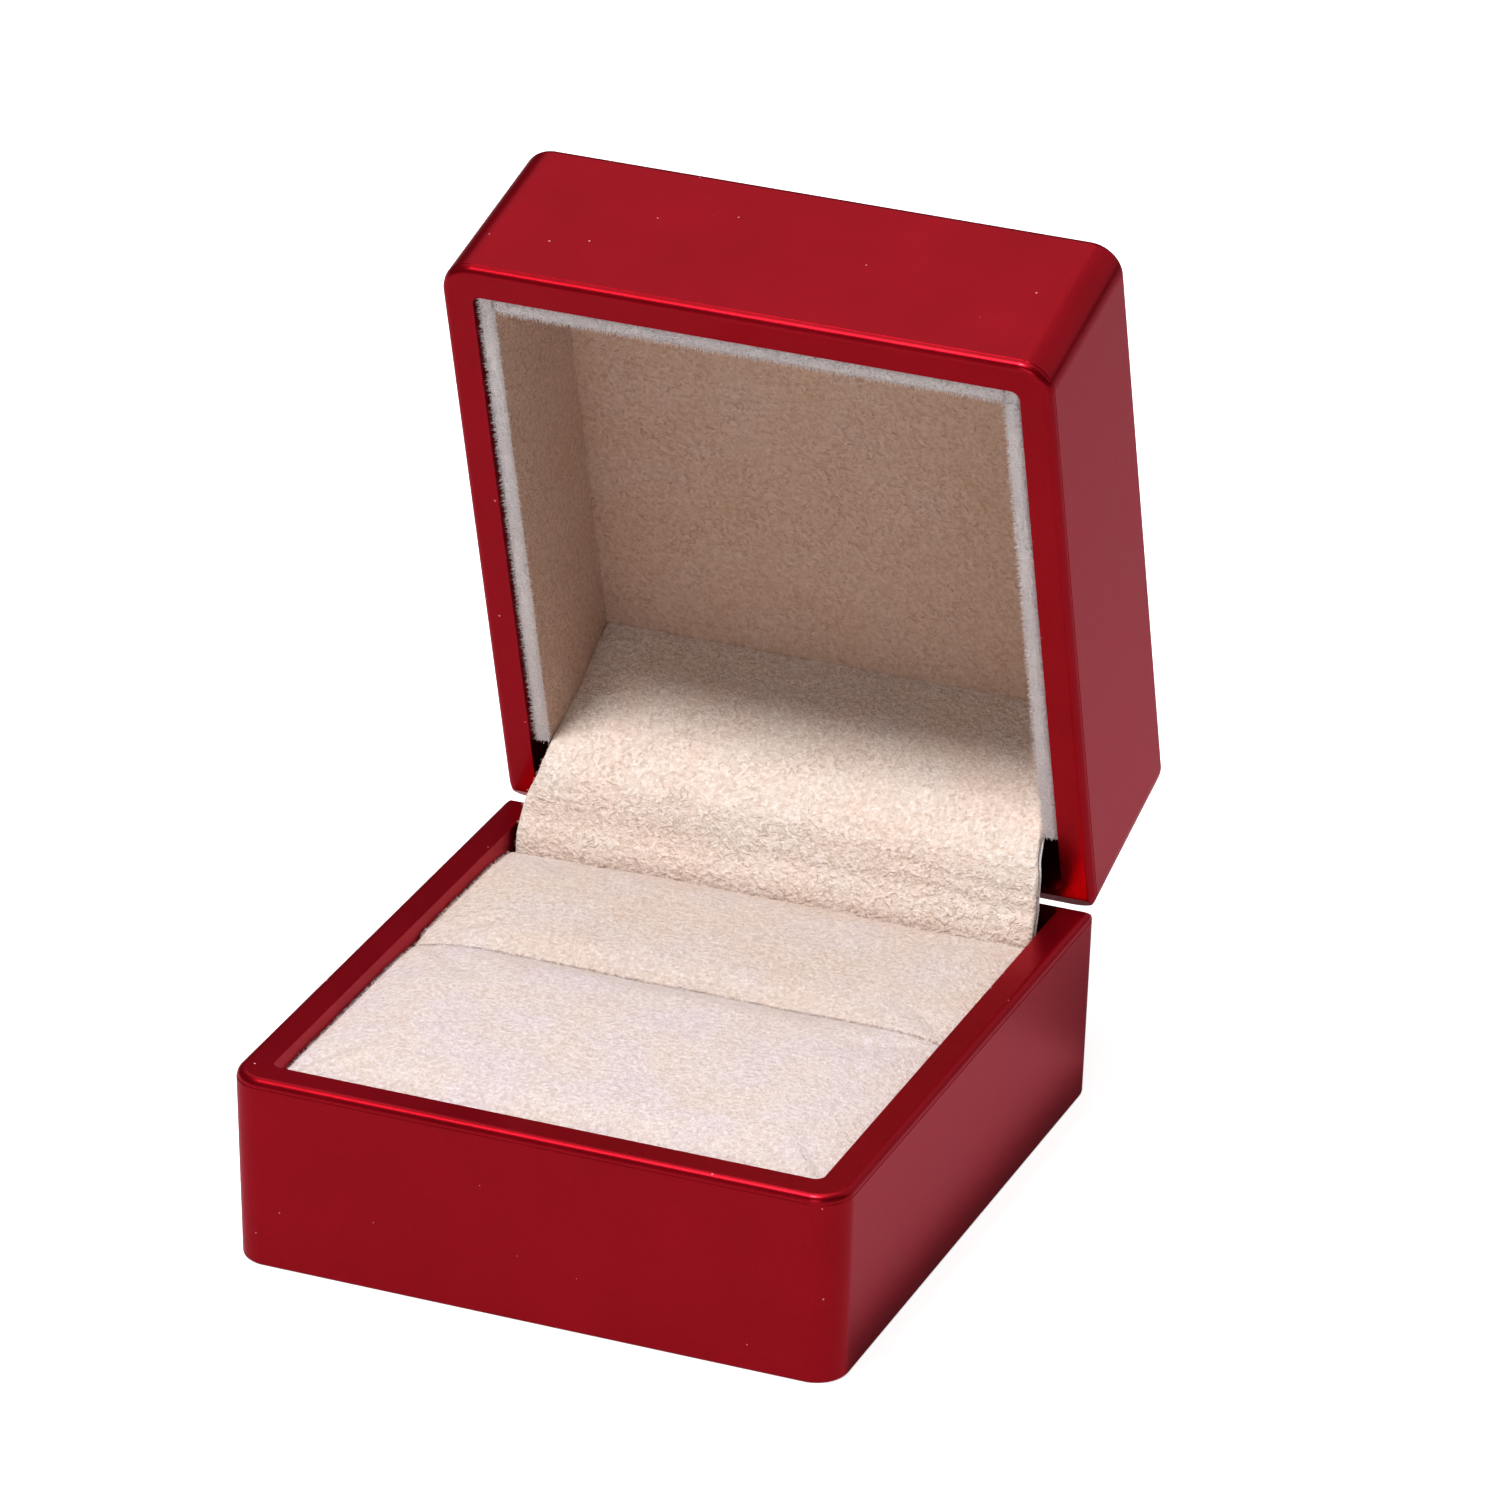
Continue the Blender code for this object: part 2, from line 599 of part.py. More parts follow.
def make_lid_leaf(steel, swing):
    """Lid leaf: a plate with two outer knuckles, flatted as cams for the snap spring."""
    plate = leaf_plate(1, LEAF_HALF_WIDTH, KNUCKLE_RADIUS - LEAF)
    leaf = add_object("lid_hinge_leaf", plate, steel, swing)
    middle = box(
        (-KNUCKLE_INNER_X - GAP, AXIS_Y - 2 * CUT_OVERRUN, AXIS_Z),
        (KNUCKLE_INNER_X + GAP, AXIS_Y, AXIS_Z + KNUCKLE_RADIUS + GAP),
    )
    combine(leaf, middle, "DIFFERENCE", swing)
    for side in (-1, 1):
        inner_x = side * (KNUCKLE_INNER_X + GAP)
        low_x, high_x = sorted((inner_x, side * LEAF_HALF_WIDTH))
        combine(leaf, leaf_flange(1, low_x, high_x), "UNION", swing)
        low_x, high_x = sorted((inner_x, side * KNUCKLE_OUTER_X))
        combine(leaf, knuckle(low_x, high_x), "UNION", swing)
    combine(leaf, cam_flat_cutter(0.0), "DIFFERENCE", swing)
    combine(leaf, cam_flat_cutter(OPEN_ANGLE), "DIFFERENCE", swing)
    combine(leaf, pin_bore(), "DIFFERENCE", swing)
    for x in (-SCREW_X, SCREW_X):
        hole = leaf_hole(x, AXIS_Z + SCREW_FROM_AXIS, SCREW_SHANK_RADIUS + GAP)
        combine(leaf, hole, "DIFFERENCE", swing)


def make_pin(steel):
    """The hinge pin, which stays with the base leaf."""
    pin = rod("X", PIN_RADIUS, AXIS, 2 * PIN_HALF_LENGTH)
    add_object("hinge_pin", pin, steel)


def make_fastener(name, place, seat_y, head, shank, material, swing=None):
    """A screw or rivet along +Y: head and shank are (radius, length) pairs."""
    x, z = place
    head_radius, head_height = head
    shank_radius, shank_end = shank
    head_shape = rod("Y", head_radius, (x, seat_y - head_height / 2, z), head_height)
    front = [
        e for e in head_shape.edges if all(v.co.y < seat_y - head_height / 2 for v in e.verts)
    ]
    bevel(head_shape, front, head_height * 0.45, 3)
    fastener = add_object(name, head_shape, material, swing)
    start_y = seat_y - head_height / 2
    stem = rod("Y", shank_radius, (x, (start_y + shank_end) / 2, z), shank_end - start_y)
    combine(fastener, stem, "UNION", swing)


def make_fasteners(steel, swing):
    """Four hinge screws and the snap spring's two rivets."""
    seat_y = LEAF_BACK_Y - LEAF - GAP
    head = (SCREW_HEAD_RADIUS, SCREW_HEAD_HEIGHT)
    shank = (SCREW_SHANK_RADIUS, LEAF_BACK_Y + SCREW_REACH)
    for side, hand in ((-1, "left"), (1, "right")):
        x = side * SCREW_X
        base_place = (x, AXIS_Z - SCREW_FROM_AXIS)
        make_fastener(f"base_leaf_screw_{hand}", base_place, seat_y, head, shank, steel)
        lid_place = (x, AXIS_Z + SCREW_FROM_AXIS)
        make_fastener(f"lid_leaf_screw_{hand}", lid_place, seat_y, head, shank, steel, swing)

    rivet_seat_y = SPRING_BACK_Y - SPRING - GAP
    rivet_head = (RIVET_HEAD_RADIUS, RIVET_HEAD_HEIGHT)
    rivet_shank = (RIVET_SHANK_RADIUS, LEAF_BACK_Y)
    for side, hand in ((-1, "left"), (1, "right")):
        place = (side * RIVET_X, AXIS_Z - RIVET_FROM_AXIS)
        make_fastener(f"spring_rivet_{hand}", place, rivet_seat_y, rivet_head, rivet_shank, steel)


def make_snap_spring(steel):
    """The flat T-shaped spring whose two fingers lean on the lid leaf's cams."""
    outline = [
        (SPRING_BACK_Y, SPRING_FOOT_Z),
        (SPRING_BACK_Y, SPRING_BEND_Z),
        (SPRING_TIP_Y, SPRING_TIP_Z),
        (SPRING_TIP_Y - SPRING, SPRING_TIP_Z),
        (SPRING_BACK_Y - SPRING, SPRING_BEND_Z),
        (SPRING_BACK_Y - SPRING, SPRING_FOOT_Z),
    ]
    strip = profile_prism(outline, -SPRING_HALF_WIDTH, SPRING_HALF_WIDTH)
    spring = add_object("snap_spring", strip, steel)
    near_y = SPRING_BACK_Y - CUT_OVERRUN
    far_y = SPRING_TIP_Y + CUT_OVERRUN
    fork = box(
        (-SPRING_FORK_HALF_WIDTH, near_y, SPRING_FORK_Z),
        (SPRING_FORK_HALF_WIDTH, far_y, SPRING_TIP_Z + CUT_OVERRUN),
    )
    combine(spring, fork, "DIFFERENCE")
    for side in (-1, 1):
        inner = side * SPRING_STEM_HALF_WIDTH
        outer = side * (SPRING_HALF_WIDTH + CUT_OVERRUN)
        low_x, high_x = sorted((inner, outer))
        beside = box((low_x, near_y, 0.0), (high_x, far_y, SPRING_WEB_Z))
        combine(spring, beside, "DIFFERENCE")
        rivet = leaf_hole(side * RIVET_X, AXIS_Z - RIVET_FROM_AXIS, RIVET_SHANK_RADIUS + GAP)
        combine(spring, rivet, "DIFFERENCE")


# ---------------------------------------------------------------- the whole box


def make_lid_swing():
    """The empty on the hinge axis that carries every lid piece and stands the lid open."""
    swing = bpy.data.objects.new("lid_swing", None)
    bpy.context.scene.collection.objects.link(swing)
    swing.location = AXIS
    swing.rotation_euler.x = -OPEN_ANGLE
    return swing


def main():
    """Build every piece of the ring box."""
    clear_scene()
    lacquer = make_material("red_lacquer", (0.36, 0.008, 0.018), 0.32, 0.35)
    velvet = make_material("cream_velvet", (0.78, 0.68, 0.62), 0.95)
    cloth = make_material("white_backing", (0.85, 0.84, 0.82), 0.9)
    board = make_material("grey_board", (0.42, 0.38, 0.33), 0.9)
    foam = make_material("white_foam", (0.80, 0.79, 0.74), 0.95)
    steel = make_material("plated_steel", (0.60, 0.58, 0.55), 0.35, 1.0)

    swing = make_lid_swing()
    make_base_shell(lacquer)
    make_lid_shell(lacquer, swing)
    make_pads(board, foam, velvet)
    make_side_liner(-1, "left", board, velvet, swing)
    make_side_liner(1, "right", board, velvet, swing)
    make_front_liner(board, velvet, swing)
    make_lid_panel(board, velvet, swing)
    make_curtain(velvet, cloth)
    make_rear_card(board, swing)
    make_base_leaf(steel)
    make_lid_leaf(steel, swing)
    make_pin(steel)
    make_fasteners(steel, swing)
    make_snap_spring(steel)


if __name__ == "__main__":
    main()
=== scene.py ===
"""Looks of the ring box: lacquered shells, velvet ring pads, lined lid, curtain and hinge.

Frame: metres, +Z up, origin at the centre of the base's underside, front towards -Y.
The lid is drawn as it lies when the box is shut and its mesh is then turned open about the
hinge, so a finished piece's object always sits at the origin.
"""

from __future__ import annotations

import json
import logging
import math
import random
from collections.abc import Callable, Sequence
from dataclasses import dataclass, field
from enum import Enum

import bmesh
import bpy
import numpy as np
from mathutils import Matrix, Vector, noise

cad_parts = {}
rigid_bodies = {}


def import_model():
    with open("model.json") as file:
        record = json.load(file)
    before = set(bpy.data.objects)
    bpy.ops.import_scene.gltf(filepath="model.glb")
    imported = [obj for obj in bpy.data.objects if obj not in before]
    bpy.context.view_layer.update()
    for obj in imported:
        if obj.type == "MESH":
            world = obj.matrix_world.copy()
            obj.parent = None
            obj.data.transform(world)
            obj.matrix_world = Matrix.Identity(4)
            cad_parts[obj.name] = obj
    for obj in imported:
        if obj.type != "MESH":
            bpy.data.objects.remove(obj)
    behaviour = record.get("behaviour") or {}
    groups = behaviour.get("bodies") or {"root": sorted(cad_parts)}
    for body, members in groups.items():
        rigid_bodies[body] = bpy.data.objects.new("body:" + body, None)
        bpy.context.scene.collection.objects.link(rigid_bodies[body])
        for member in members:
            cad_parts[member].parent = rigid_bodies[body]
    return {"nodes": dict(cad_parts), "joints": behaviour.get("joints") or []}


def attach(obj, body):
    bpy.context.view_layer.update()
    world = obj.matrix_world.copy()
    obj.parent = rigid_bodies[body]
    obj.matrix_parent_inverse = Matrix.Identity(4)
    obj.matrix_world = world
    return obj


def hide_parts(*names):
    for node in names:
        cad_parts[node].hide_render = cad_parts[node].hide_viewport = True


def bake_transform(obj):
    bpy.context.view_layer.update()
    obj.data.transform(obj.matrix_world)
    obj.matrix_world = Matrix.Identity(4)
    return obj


LOG = logging.getLogger("ring_box")
MM = 0.001
SAME_PLACE = 0.001 * MM
CLOTH_UV = "cloth"

for leftover in list(bpy.data.objects):
    bpy.data.objects.remove(leftover, do_unlink=True)
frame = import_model()


class Body(Enum):
    """The two bodies that the hinge joins."""

    BASE = "base"
    LID = "lid"


class Slot(Enum):
    """The record's material slots, by name; the curtain tells its velvet layer from its backing by
    them.
    """

    LACQUER = "red_lacquer"
    VELVET = "cream_velvet"
    BACKING = "white_backing"
    FOAM = "white_foam"


@dataclass(frozen=True)
class BoxSizes:
    """The driving sizes that several sub-assemblies share."""

    width: float = 60.0 * MM
    depth: float = 65.1 * MM
    base_height: float = 19.1 * MM
    lid_height: float = 20.2 * MM
    wall: float = 3.16 * MM
    draft: float = math.radians(1.055)
    shut_gap: float = 0.3 * MM
    axis: Vector = field(default_factory=lambda: Vector(frame["joints"][0]["pos_m"]))
    open_angle: float = math.radians(frame["joints"][0]["range_deg"][1])

    @property
    def shut_rim_z(self) -> float:
        """Height of the lid's rim when the box is shut."""
        return self.base_height + self.shut_gap

    @property
    def turn_open(self) -> Matrix:
        """The turn about the hinge that carries a shut lid piece to its open place."""
        there = Matrix.Translation(self.axis)
        return there @ Matrix.Rotation(-self.open_angle, 4, "X") @ there.inverted()

    def wall_inner(self, below_rim: float) -> tuple[float, float]:
        """Half width and half depth of the hollow, a distance from the rim along the draft."""
        inset = self.wall + below_rim * math.tan(self.draft)
        return self.width / 2 - inset, self.depth / 2 - inset

    def lid_place(self, from_rear: float, from_rim: float) -> Vector:
        """Open place of a lid point, from its distances to the lid's rear face and rim."""
        shut = Vector((0.0, self.depth / 2 - from_rear, self.shut_rim_z + from_rim))
        return self.turn_open @ shut


SIZES = BoxSizes()


# ---------------------------------------------------------------- mesh tools


def link_object(name: str, bm: bmesh.types.BMesh) -> bpy.types.Object:
    """Make a linked object of a bmesh, which is freed.

    Args:
        name: the object's and the mesh's name.
        bm: the shape.

    Returns:
        The new object.
    """
    mesh = bpy.data.meshes.new(name)
    bm.to_mesh(mesh)
    bm.free()
    obj = bpy.data.objects.new(name, mesh)
    bpy.context.scene.collection.objects.link(obj)
    return obj


def drop_object(obj: bpy.types.Object) -> None:
    """Remove a helper object together with its mesh.

    Args:
        obj: the helper.
    """
    mesh = obj.data
    bpy.data.objects.remove(obj, do_unlink=True)
    bpy.data.meshes.remove(mesh)


def evaluated_bmesh(obj: bpy.types.Object) -> bmesh.types.BMesh:
    """Read an object as its modifiers leave it.

    Args:
        obj: the object.

    Returns:
        A bmesh of its evaluated shape.
    """
    graph = bpy.context.evaluated_depsgraph_get()
    mesh = bpy.data.meshes.new_from_object(obj.evaluated_get(graph))
    bm = bmesh.new()
    bm.from_mesh(mesh)
    bpy.data.meshes.remove(mesh)
    return bm


def box(low: Sequence[float], high: Sequence[float]) -> bmesh.types.BMesh:
    """Make a box.

    Args:
        low: the corner with the least coordinates.
        high: the corner opposite to it.

    Returns:
        The box as a bmesh.
    """
    start = Vector(low)
    end = Vector(high)
    bm = bmesh.new()
    bmesh.ops.create_cube(bm, size=1.0)
    bmesh.ops.scale(bm, verts=bm.verts, vec=end - start)
    bmesh.ops.translate(bm, verts=bm.verts, vec=(start + end) / 2)
    return bm


def bevel(
    bm: bmesh.types.BMesh, edges: Sequence[bmesh.types.BMEdge], radius: float, segments: int
) -> None:
    """Round the given edges.

    Args:
        bm: the shape to change.
        edges: the edges to round.
        radius: the bevel's width.
        segments: how many faces the rounding has.
    """
    bmesh.ops.bevel(
        bm,
        geom=list(edges),
        offset=radius,
        offset_type="OFFSET",
        segments=segments,
        profile=0.5,
        affect="EDGES",
        clamp_overlap=True,
        material=-1,
    )


def upright_edges(bm: bmesh.types.BMesh) -> list[bmesh.types.BMEdge]:
    """Return the edges that stand along Z."""
    return [e for e in bm.edges if abs(e.verts[0].co.z - e.verts[1].co.z) > MM]


def level_edges(bm: bmesh.types.BMesh, z: float) -> list[bmesh.types.BMEdge]:
    """Return the edges that lie in the level plane at z."""
    return [e for e in bm.edges if all(abs(v.co.z - z) < SAME_PLACE for v in e.verts)]


def prism(
    outline: Sequence[tuple[float, float]], low_x: float, high_x: float
) -> bmesh.types.BMesh:
    """Extrude a (y, z) outline from low_x to high_x.

    Args:
        outline: the corners of the outline.
        low_x: where the prism starts.
        high_x: where it ends.

    Returns:
        The closed prism.
    """
    bm = bmesh.new()
    face = bm.faces.new([bm.verts.new((low_x, y, z)) for y, z in outline])
    swept = bmesh.ops.extrude_face_region(bm, geom=[face])
    moved = [v for v in swept["geom"] if isinstance(v, bmesh.types.BMVert)]
    bmesh.ops.translate(bm, verts=moved, vec=(high_x - low_x, 0.0, 0.0))
    bmesh.ops.recalc_face_normals(bm, faces=bm.faces)
    return bm


def carve(bm: bmesh.types.BMesh, cutters: Sequence[bmesh.types.BMesh]) -> bmesh.types.BMesh:
    """Cut shapes out of another with exact Booleans.

    Args:
        bm: the shape to cut, which is freed.
        cutters: the shapes to take away, which are freed.

    Returns:
        The shape that is left.
    """
    body = link_object("carved", bm)
    tools = [link_object("cutter", cutter) for cutter in cutters]
    for tool in tools:
        boolean = body.modifiers.new("Cut", "BOOLEAN")
        boolean.operation = "DIFFERENCE"
        boolean.solver = "EXACT"
        boolean.object = tool
    carved = evaluated_bmesh(body)
    for helper in [body, *tools]:
        drop_object(helper)
    return carved


def add_piece(
    name: str,
    bm: bmesh.types.BMesh,
    material: bpy.types.Material,
    replaces: Sequence[str] = (),
    turn: Matrix | None = None,
    sharp_angle: float = math.radians(35),
) -> bpy.types.Object:
    """Make a finished piece, which may stand for CAD nodes.

    Args:
        name: the piece's name.
        bm: its shape, which is freed.
        material: its finish.
        replaces: the CAD nodes that the piece stands for.
        turn: a turn for the mesh, such as the lid's opening.
        sharp_angle: edges sharper than this stay crisp.

    Returns:
        The piece, at the origin, not yet riding on a body.
    """
    if turn is not None:
        bmesh.ops.transform(bm, matrix=turn, verts=bm.verts)
    triangles = sum(len(f.verts) - 2 for f in bm.faces)
    obj = link_object(name, bm)
    obj.data.shade_smooth()
    obj.data.set_sharp_from_angle(angle=sharp_angle)
    obj.data.materials.append(material)
    if replaces:
        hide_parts(*replaces)
    LOG.info("%s: %d triangles, for %s", name, triangles, ", ".join(replaces) or "detail")
    return obj


# ---------------------------------------------------------------- shader tools

Colour = tuple[float, float, float, float]
UNIT = (0.0, 1.0)
NOISE_REACH = (0.3, 0.7)


class Graph:
    """A small builder for one node tree."""

    def __init__(self, tree: bpy.types.NodeTree) -> None:
        """Keep the tree that the nodes go into."""
        self.tree = tree

    def node(self, kind: str, inputs: dict | None = None, **settings: object) -> bpy.types.Node:
        """Add a node.

        Args:
            kind: the node's type, such as ShaderNodeTexNoise.
            inputs: a value or an output socket for each input, by name or index.
            settings: the node's own properties.

        Returns:
            The new node.
        """
        made = self.tree.nodes.new(kind)
        for key, value in settings.items():
            setattr(made, key, value)
        for key, value in (inputs or {}).items():
            if isinstance(value, bpy.types.NodeSocket):
                self.tree.links.new(value, made.inputs[key])
            else:
                made.inputs[key].default_value = value
        return made

    def place(self) -> bpy.types.NodeSocket:
        """Return the socket of the object's own coordinates."""
        return self.node("ShaderNodeTexCoord").outputs["Object"]

    def math(self, operation: str, first: object, second: object = 0.0) -> bpy.types.NodeSocket:
        """Add a Math node of two inputs and return its output."""
        made = self.node("ShaderNodeMath", {0: first, 1: second}, operation=operation)
        return made.outputs[0]

    def mix_colour(self, share: object, first: object, second: object) -> bpy.types.NodeSocket:
        """Add a colour mix and return its output."""
        made = self.node("ShaderNodeMix", {0: share, 6: first, 7: second}, data_type="RGBA")
        return made.outputs[2]

    def remap(
        self, value: object, old: tuple[float, float], new: tuple[float, float]
    ) -> bpy.types.NodeSocket:
        """Map a value from one range to another, held inside it, and return the output."""
        inputs = {0: value, 1: old[0], 2: old[1], 3: new[0], 4: new[1]}
        return self.node("ShaderNodeMapRange", inputs, clamp=True).outputs[0]

    def cloud(
        self, vector: object, scale: object, detail: float = 2.0, roughness: float = 0.5
    ) -> bpy.types.NodeSocket:
        """Add a noise texture and return its value."""
        inputs = {"Vector": vector, "Scale": scale, "Detail": detail, "Roughness": roughness}
        return self.node("ShaderNodeTexNoise", inputs).outputs[0]


def new_group(
    name: str, inputs: dict[str, float], outputs: dict[str, str]
) -> tuple[bpy.types.NodeTree, Graph, bpy.types.NodeOutputs]:
    """Start a shader node group with float inputs, a Vector input and named outputs.

    Args:
        name: the group's name.
        inputs: the float inputs and their defaults.
        outputs: the outputs and their socket types.

    Returns:
        The group, its node builder, and the sockets that carry its inputs.
    """
    group = bpy.data.node_groups.new(name, "ShaderNodeTree")
    group.interface.new_socket("Vector", in_out="INPUT", socket_type="NodeSocketVector")
    for label, default in inputs.items():
        socket = group.interface.new_socket(
            label, in_out="INPUT", socket_type="NodeSocketFloat"
        )
        socket.default_value = default
    for label, kind in outputs.items():
        group.interface.new_socket(label, in_out="OUTPUT", socket_type=kind)
    source = group.nodes.new("NodeGroupInput").outputs
    group.nodes.new("NodeGroupOutput")
    return group, Graph(group), source


def wire_outputs(group: bpy.types.NodeTree, **values: bpy.types.NodeSocket) -> None:
    """Link the results of a group to its outputs, by name."""
    target = group.nodes["Group Output"]
    for label, value in values.items():
        group.links.new(value, target.inputs[label])


def nap_group() -> bpy.types.NodeTree:
    """Fine fibre clumps over broad patches of tone, with short creases that darken the Value as
    painted shade and bright points that lighten it as painted glints.

    Returns:
        A group with the outputs Value, about 0 to 1, and Height.
    """
    crease_half_width = 0.05
    crease_breaks = ((0.4, 0.6), (0.35, 1.0))
    crease_fades = ((0.42, 0.58), (1.0, 0.25))
    glint_share = (0.62, 0.74)
    pebble_height = 1.8
    inputs = {
        "Clump": 3000.0, "Patch": 250.0, "Patch Share": 0.3,
        "Crease": 0.0, "Crease Scale": 1000.0, "Tips": 0.0, "Glint Scale": 3300.0,
    }
    outputs = {"Value": "NodeSocketFloat", "Height": "NodeSocketFloat"}
    group, graph, source = new_group("Nap", inputs, outputs)
    clumps = graph.cloud(source["Vector"], source["Clump"], detail=3.0, roughness=0.7)
    patches = graph.cloud(source["Vector"], source["Patch"])
    fine = graph.remap(clumps, NOISE_REACH, UNIT)
    broad = graph.remap(patches, NOISE_REACH, UNIT)
    blend = graph.node(
        "ShaderNodeMix", {0: source["Patch Share"], 2: fine, 3: broad}, data_type="FLOAT"
    )
    folds = graph.cloud(source["Vector"], source["Crease Scale"])
    off_line = graph.math("ABSOLUTE", graph.math("SUBTRACT", folds, 0.5))
    line = graph.remap(off_line, (0.0, crease_half_width), (1.0, 0.0))
    broken = graph.remap(patches, *crease_breaks)
    kept = graph.remap(clumps, *crease_fades)
    depth = graph.math("MULTIPLY", graph.math("MULTIPLY", line, broken), kept)
    crease = graph.math("MULTIPLY", depth, source["Crease"])
    points = graph.cloud(source["Vector"], source["Glint Scale"], detail=0.0)
    lit = graph.remap(points, glint_share, UNIT)
    # The bright points raise the Value: painted glints.
    raised = graph.math("ADD", blend.outputs[0], graph.math("MULTIPLY", lit, source["Tips"]))
    # The creases lower the Value, as painted shade along them, and the Height, as their relief.
    value = graph.math("SUBTRACT", raised, crease)
    pebble = graph.math("MULTIPLY", graph.math("MULTIPLY", folds, pebble_height), source["Crease"])
    height = graph.math("SUBTRACT", graph.math("ADD", fine, pebble), crease)
    wire_outputs(group, Value=value, Height=height)
    return group


def dust_group() -> bpy.types.NodeTree:
    """Sparse lint specks of uneven size.

    Returns:
        A group with the output Mask, 1 on a speck.
    """
    bare_share = 0.86
    inputs = {"Spread": 700.0, "Size": 0.1}
    group, graph, source = new_group("Dust", inputs, {"Mask": "NodeSocketFloat"})
    cells = graph.node(
        "ShaderNodeTexVoronoi",
        {"Vector": source["Vector"], "Scale": source["Spread"], "Randomness": 1.0},
    )
    chance = graph.node("ShaderNodeSeparateColor", {"Color": cells.outputs["Color"]})
    picked = graph.math("GREATER_THAN", chance.outputs[0], bare_share)
    size = graph.math("MULTIPLY", source["Size"], chance.outputs[1])
    inside = graph.math("LESS_THAN", cells.outputs["Distance"], size)
    wire_outputs(group, Mask=graph.math("MULTIPLY", picked, inside))
    return group


def brushed_group() -> bpy.types.NodeTree:
    """Fine lines drawn out along X, for rolled and ground steel.

    Returns:
        A group with the outputs Value, from 0 to 1, and Height.
    """
    outputs = {"Value": "NodeSocketFloat", "Height": "NodeSocketFloat"}
    group, graph, source = new_group("Brushed", {"Lines": 4000.0, "Draw": 0.04}, outputs)
    draw = graph.node("ShaderNodeCombineXYZ", {0: source["Draw"], 1: 1.0, 2: 1.0})
    drawn = graph.node(
        "ShaderNodeVectorMath", {0: source["Vector"], 1: draw.outputs[0]}, operation="MULTIPLY"
    )
    lines = graph.cloud(drawn.outputs[0], source["Lines"])
    wire_outputs(group, Value=graph.remap(lines, NOISE_REACH, UNIT), Height=lines)
    return group


def weave_group() -> bpy.types.NodeTree:
    """Plain weave of two crossing thread sets over a cloth's own UV map, in metres.

    Returns:
        A group with the outputs Value, from 0 to 1, and Height.
    """
    outputs = {"Value": "NodeSocketFloat", "Height": "NodeSocketFloat"}
    group, graph, source = new_group("Weave", {"Threads": 2500.0}, outputs)
    scaled = graph.node(
        "ShaderNodeVectorMath", {0: source["Vector"], "Scale": source["Threads"]}, operation="SCALE"
    )
    parts = graph.node("ShaderNodeSeparateXYZ", {0: scaled.outputs[0]})
    waves = []
    for axis in (0, 1):
        angle = graph.math("MULTIPLY", parts.outputs[axis], 2 * math.pi)
        waves.append(graph.math("SINE", angle))
    crossing = graph.math("MULTIPLY", waves[0], waves[1])
    value = graph.remap(crossing, (-1.0, 1.0), UNIT)
    wire_outputs(group, Value=value, Height=value)
    return group


class EffectLibrary:
    """The node groups that several finishes share, each built once."""

    def __init__(self) -> None:
        """Build every shared group."""
        self.nap = nap_group()
        self.dust = dust_group()
        self.brushed = brushed_group()
        self.weave = weave_group()


def place_group(
    graph: Graph, group: bpy.types.NodeTree, vector: object, **values: float
) -> bpy.types.NodeOutputs:
    """Place a shared group in a material.

    Args:
        graph: the material's node builder.
        group: the shared group.
        vector: the socket of the coordinates it reads.
        values: its own inputs, with _ for a space.

    Returns:
        The group's output sockets.
    """
    made = graph.node("ShaderNodeGroup", node_tree=group)
    graph.tree.links.new(vector, made.inputs["Vector"])
    for label, value in values.items():
        made.inputs[label.replace("_", " ")].default_value = value
    return made.outputs


def new_material(name: str) -> tuple[bpy.types.Material, Graph, bpy.types.Node]:
    """Start a material.

    Args:
        name: the material's name.

    Returns:
        The material, its node builder and its Principled shader.
    """
    material = bpy.data.materials.new(name)
    material.use_nodes = True
    graph = Graph(material.node_tree)
    return material, graph, material.node_tree.nodes["Principled BSDF"]


def wire_surface(
    graph: Graph, shader: bpy.types.Node, colour: object, rough: object, height: object,
    relief: float,
) -> None:
    """Feed a Principled shader its colour, its roughness and its bumped normal.

    Args:
        graph: the material's node builder.
        shader: the Principled shader.
        colour: the socket of the base colour.
        rough: the socket of the roughness.
        height: the socket of the surface's height.
        relief: how far that height stands out.
    """
    bump = graph.node("ShaderNodeBump", {"Height": height, "Distance": relief})
    graph.tree.links.new(colour, shader.inputs["Base Color"])
    graph.tree.links.new(rough, shader.inputs["Roughness"])
    graph.tree.links.new(bump.outputs[0], shader.inputs["Normal"])


